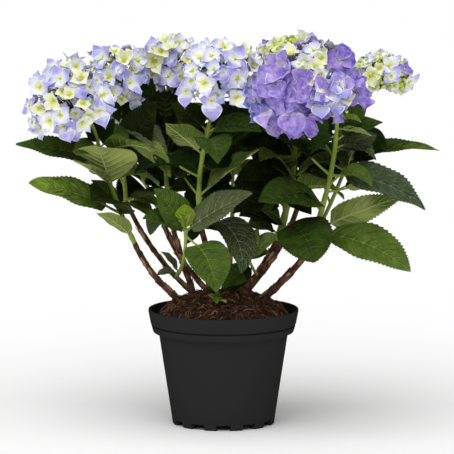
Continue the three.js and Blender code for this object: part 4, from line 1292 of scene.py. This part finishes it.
bark_parts = []
for number, shoot in enumerate(shoots):
    if "cane" not in shoot:
        continue
    wood = shoot["cane"]
    curve = (wood["foot"], wood["bend"], shoot["node"])
    path, rings = cane(curve, (wood.get("drawn", wood["radius"]), shoot["radii"][0]), number + 1)
    bark_parts.append(tube(path, rings, CANE_CORNERS, 0))
    for k in range(STRIPS_PER_CANE):
        strip = bark_strip(path, rings, number + 61, k * 9)
        if strip:
            bark_parts.append(strip)
middle = tuple((np.array(stub["foot"]) + np.array(stub["tip"])) / 2)
path, rings = cane((stub["foot"], middle, stub["tip"]), stub["radii"], 77, 24)
bark_parts.append(tube(path, rings, CANE_CORNERS, 0))
cut = tube([path[-1], path[-1] + (path[-1] - path[-2]) * 0.4], [stub["radii"][1] * 0.82] * 2, 16, 2)
bark_parts.append(cut)
cane_nodes = [f"cane_{shoot['name']}" for shoot in shoots if "cane" in shoot]
piece("canes", bark_parts, [bark, peeling, cut_wood], [*cane_nodes, "stub_right_middle"], 60)

# Green stems, petioles, blades and veins

masses = grow_leaves()
stem_parts = []
vein_parts = []
LEAF_GROUPS = {
    "left": ("left_low", "left", "left_middle", "front_bud", "centre"),
    "right": ("right_middle", "right", "right_side", "basal_right"),
    "back": ("back_left", "back_middle", "back_right"),
}
group_of = {shoot: group for group, members in LEAF_GROUPS.items() for shoot in members}
group_of["sprout"] = "left"
blade_parts = {group: [] for group in LEAF_GROUPS}
for number, mass in enumerate([*masses, {"shoot": sprout, "leaves": []}]):
    shoot = mass["shoot"]
    share = np.linspace(0, 1, 40)
    radii = STEM_SHARE * (shoot["radii"][0] + (shoot["radii"][1] - shoot["radii"][0]) * share)
    for leaf in mass["leaves"]:
        radii = radii * (1 + STEM_SWELLING * np.exp(-((share - leaf["at"]) / STEM_SWELLING_REACH) ** 2))
    stem_parts.append(tube(stem_spots(shoot, share), radii, 12, 0))
    inner = [leaf_of(shoot, row) for row in shoot["inner"]]
    for index, grown in enumerate(mass["leaves"] + inner):
        leaf = {"belly": 1, "taper": TIP_DRAW, **grown.get("drawn", grown)}
        leaf["phase"] = chance(number + 90, index)
        leaf["wave"] = spread(number + 91, index, *EDGE_WAVE_HEIGHTS)
        base, _, tip = leaf["tone"].partition(">")
        near_stalk, near_tip = tone_names.index(base), tone_names.index(tip or base)
        under = len(tone_names)
        zones = ((near_stalk, near_tip), (under + near_stalk, under + near_tip))
        blade_parts[group_of[shoot["name"]]].append(blade(leaf, zones))
        vein_parts.extend(veins(leaf, near_stalk, near_tip))
        stem_parts.append(petiole(leaf))
foliage_nodes = [f"foliage_{shoot['name']}" for shoot in shoots]
piece("green_stems", stem_parts, [green_stem], foliage_nodes)
for name, members in LEAF_GROUPS.items():
    nodes = [f"foliage_{shoot}" for shoot in members]
    piece(f"leaves_{name}", blade_parts[name], leaf_tops + leaf_unders, nodes)
piece("leaf_veins", vein_parts, leaf_veins, foliage_nodes)

# Flower heads

for number, head in enumerate(heads):
    head["parts"] = grow_head(head, number)
for name, members in (("left", heads[:3]), ("middle", heads[3:6]), ("back", heads[6:])):
    nodes = [f"bloom_{head['shoot']}" for head in members]
    sepals = [part for head in members for part in head["parts"][0]]
    piece(f"sepals_{name}", sepals, sepal_materials, nodes, 70)
stalks = [part for head in heads for part in head["parts"][1]]
bloom_nodes = [f"bloom_{head['shoot']}" for head in heads]
piece("flower_stalks", stalks, [young_stem, bud_green, bud_pale, inner_stem], bloom_nodes)

# Soil: a lumpy mound, crumbs and root fibres


def mound_height(radius):
    share = np.clip(np.asarray(radius, float) / MOUND_RADIUS, 0, 1)
    swell = np.cos(share * math.pi / 2) ** MOUND_FLATNESS
    return SOIL_EDGE + (SOIL_TOP - SOIL_EDGE) * swell


def lumps(x, y):
    """How far the mound's surface stands out of its smooth form."""
    layers = ((height, Vector((x * scale, y * scale, level))) for height, scale, level in LUMPS)
    return sum(height * noise.noise(spot) for height, spot in layers)


def ground(x, y):
    radius = math.hypot(x, y)
    calm = min(1, max(0, (CALM_RADIUS - radius) / CALM_WIDTH))
    return float(mound_height(radius)) + lumps(x, y) * calm - MOUND_DROP


def soil_parts():
    rings = [circle(radius, SOIL_EDGE - MOUND_DEPTH, MOUND_SIDES) for radius in (0.5, MOUND_FOOT_RADIUS)]
    for radius in (*np.linspace(2, MOUND_EDGE, 70)[::-1], 0.5):
        rings.append([(x, y, ground(x, y)) for x, y, _ in circle(radius, 0, MOUND_SIDES)])
    return np.array(rings, float).reshape(-1, 3), sleeve(len(rings), MOUND_SIDES), 0


def scattered(seed, count, reach):
    """Places strewn evenly over the soil within the reach, with their numbers."""
    for k in range(count):
        angle = 2 * math.pi * chance(seed, 3 * k)
        radius = reach * math.sqrt(chance(seed, 3 * k + 1))
        yield k, radius * math.cos(angle), radius * math.sin(angle)


def fibre_parts():
    parts = []
    for k, x, y in scattered(201, FIBRES, FIBRE_REACH):
        heading = 2 * math.pi * chance(202, k)
        cosine, sine = math.cos(heading), math.sin(heading)
        length = spread(203, k, 4, 15)
        bow = spread(204, k, -0.5, 0.5) * length
        path = []
        for share in np.linspace(0, 1, 5):
            px = x + cosine * length * (share - 0.5) - sine * bow * share * (1 - share)
            py = y + sine * length * (share - 0.5) + cosine * bow * share * (1 - share)
            reach = math.hypot(px, py)
            if reach > FIBRE_EDGE:
                px, py = px * FIBRE_EDGE / reach, py * FIBRE_EDGE / reach
            arch = spread(205, k, 0.2, 3.2) * math.sin(math.pi * share)
            path.append((px, py, ground(px, py) + 0.1 + arch))
        thick = spread(206, k, 0.18, 0.5)
        parts.append(tube(path, [thick * 0.5, thick, thick, thick * 0.8, thick * 0.3], 4, 2 * (k % 4 == 0)))
    return parts


def crumb_parts():
    parts = []
    for k, x, y in scattered(221, CRUMBS, CRUMB_REACH):
        size = spread(222, k, 0.8, 2.6)
        lean = unit(np.array([chance(223, k) - 0.5, chance(224, k) - 0.5, 0.4]))
        spot = np.array([x, y, ground(x, y) + size * 0.2])
        outer = math.hypot(x, y) > MAROON_REACH and k % 3 > 0
        parts.append(bead(spot, lean, size * 0.8, size * 1.9, 3 if outer else 1))
    return parts


piece("soil_mound", [soil_parts()], [peat], ["soil"], 80)
piece("soil_crumbs", fibre_parts() + crumb_parts(), [fibre, crumb, root_thread, maroon], [], 50)

# Pot: a turned shell and its ring of feet


def body_radius(height):
    return BODY_FOOT_RADIUS + (BODY_TOP_RADIUS - BODY_FOOT_RADIUS) * height / BODY_TOP


def rounded(profile, reach):
    """The profile with each inner corner eased over the reach."""
    points = [np.array(p, float) for p in profile]
    eased = [points[0]]
    for before, corner, after in zip(points, points[1:], points[2:]):
        first = corner + unit(before - corner) * min(reach, np.linalg.norm(before - corner) * 0.45)
        second = corner + unit(after - corner) * min(reach, np.linalg.norm(after - corner) * 0.45)
        eased.extend(spots((*first, 0), (*corner, 0), (*second, 0), np.linspace(0, 1, 4))[:, :2])
    eased.append(points[-1])
    return eased


def turned(profile, sides):
    rings = [circle(radius, height, sides) for radius, height in profile]
    return np.array(rings).reshape(-1, 3), sleeve(len(rings), sides), 0


def pot_parts():
    inner_foot = BODY_FOOT_RADIUS - FOOT_DEPTH
    ridge_share = (BAND_RIDGE - BAND_FOOT) / (POT_HEIGHT - BAND_FOOT)
    ridge = BAND_RADIUS + (RIM_RADIUS - BAND_RADIUS) * ridge_share
    shell = turned(rounded([
        (0.5, FOOT_HEIGHT),
        (body_radius(FOOT_HEIGHT) - 0.4, FOOT_HEIGHT),
        (body_radius(BODY_TOP), BODY_TOP),
        (BAND_RADIUS, BAND_FOOT),
        (ridge + 0.4, BAND_RIDGE - 1.2),
        (ridge - GROOVE_DEPTH, BAND_RIDGE - GROOVE_HALF),
        (ridge - GROOVE_DEPTH, BAND_RIDGE + GROOVE_HALF),
        (ridge + 1.2, BAND_RIDGE + 1.1),
        (RIM_RADIUS - 0.2, POT_HEIGHT - 4.2),
        (RIM_RADIUS, POT_HEIGHT - 3),
        (RIM_RADIUS - 0.2, POT_HEIGHT - 0.2),
        (RIM_RADIUS - RIM_LIP, POT_HEIGHT - 0.1),
        (RIM_RADIUS - RIM_LIP - 0.8, POT_HEIGHT - 1.5),
        (BAND_RADIUS - POT_WALL - 0.4, BAND_FOOT + POT_WALL),
        (0.5, BAND_FOOT - 4),
    ], SHELL_EASE), POT_SIDES)
    parts = [shell]
    half = 180 / FOOT_COUNT - FOOT_NOTCH_ANGLE / 2
    section = rounded([
        (inner_foot, FOOT_HEIGHT + 1.5), (inner_foot + 1.5, 0.2), (body_radius(0) - 1, 0),
        (body_radius(1.2), 1.2), (body_radius(FOOT_HEIGHT + 1.5), FOOT_HEIGHT + 1.5),
    ], FOOT_EASE)
    for k in range(FOOT_COUNT):
        middle = 360 / FOOT_COUNT * (k + 0.5)
        rings = []
        for share in (-1, -0.93, -0.5, 0, 0.5, 0.93, 1):
            angle = math.radians(middle + half * share)
            ease = FOOT_END_EASE if abs(share) == 1 else 0
            rings.append([(radius * math.cos(angle), radius * math.sin(angle),
                           height + ease * (height < 3)) for radius, height in section])
        corners = len(section) - len(section) % 2
        rings = np.array(rings)[:, :corners]
        parts.append((rings.reshape(-1, 3), sleeve(7, corners), 0))
    return parts


piece("pot_shell", pot_parts(), [plastic], ["pot"], 35)

# Studio: a white floor, one soft key light and an even glow from all around


def floor():
    mesh = bpy.data.meshes.new("floor")
    corners = [(x * FLOOR_REACH, y * FLOOR_REACH, 0) for x, y in ((-1, -1), (1, -1), (1, 1), (-1, 1))]
    mesh.from_pydata(corners, [], [(0, 1, 2, 3)])
    mesh.materials.append(surface("studio_floor", "ffffff", 0.9, 0.05, 40))
    set_out("floor", mesh)


def soft_light(name, azimuth, elevation, strength, spread_angle):
    """A far wide light. Azimuth 0 is the camera's side and a negative one is to its left."""
    light = bpy.data.lights.new(name, "SUN")
    light.energy = strength
    light.angle = math.radians(spread_angle)
    made = set_out(name, light)
    around, up = math.radians(azimuth), math.radians(elevation)
    place = Vector((math.sin(around) * math.cos(up), -math.cos(around) * math.cos(up), math.sin(up)))
    made.location = place * 3
    made.rotation_euler = (-place).to_track_quat("-Z", "Y").to_euler()


floor()
soft_light("key", KEY_AZIMUTH, KEY_ELEVATION, KEY_STRENGTH, KEY_SPREAD)
world = bpy.data.worlds.new("studio")
world.use_nodes = True
world.node_tree.nodes["Background"].inputs["Color"].default_value = (1, 1, 1, 1)
world.node_tree.nodes["Background"].inputs["Strength"].default_value = GLOW_STRENGTH
bpy.context.scene.world = world
bpy.context.scene.view_settings.view_transform = "Standard"

# Camera

camera = set_out("camera", bpy.data.cameras.new("camera"))
camera.data.sensor_width = SENSOR_WIDTH
camera.data.lens = SENSOR_WIDTH * CAMERA_DISTANCE / FRAME_WIDTH
camera.data.clip_end = 100
tilt = math.radians(CAMERA_ELEVATION)
aim = Vector(CAMERA_AIM) * MM
camera.location = aim + Vector((0, -math.cos(tilt), math.sin(tilt))) * CAMERA_DISTANCE * MM
camera.rotation_euler = (aim - camera.location).to_track_quat("-Z", "Y").to_euler()
bpy.context.scene.camera = camera
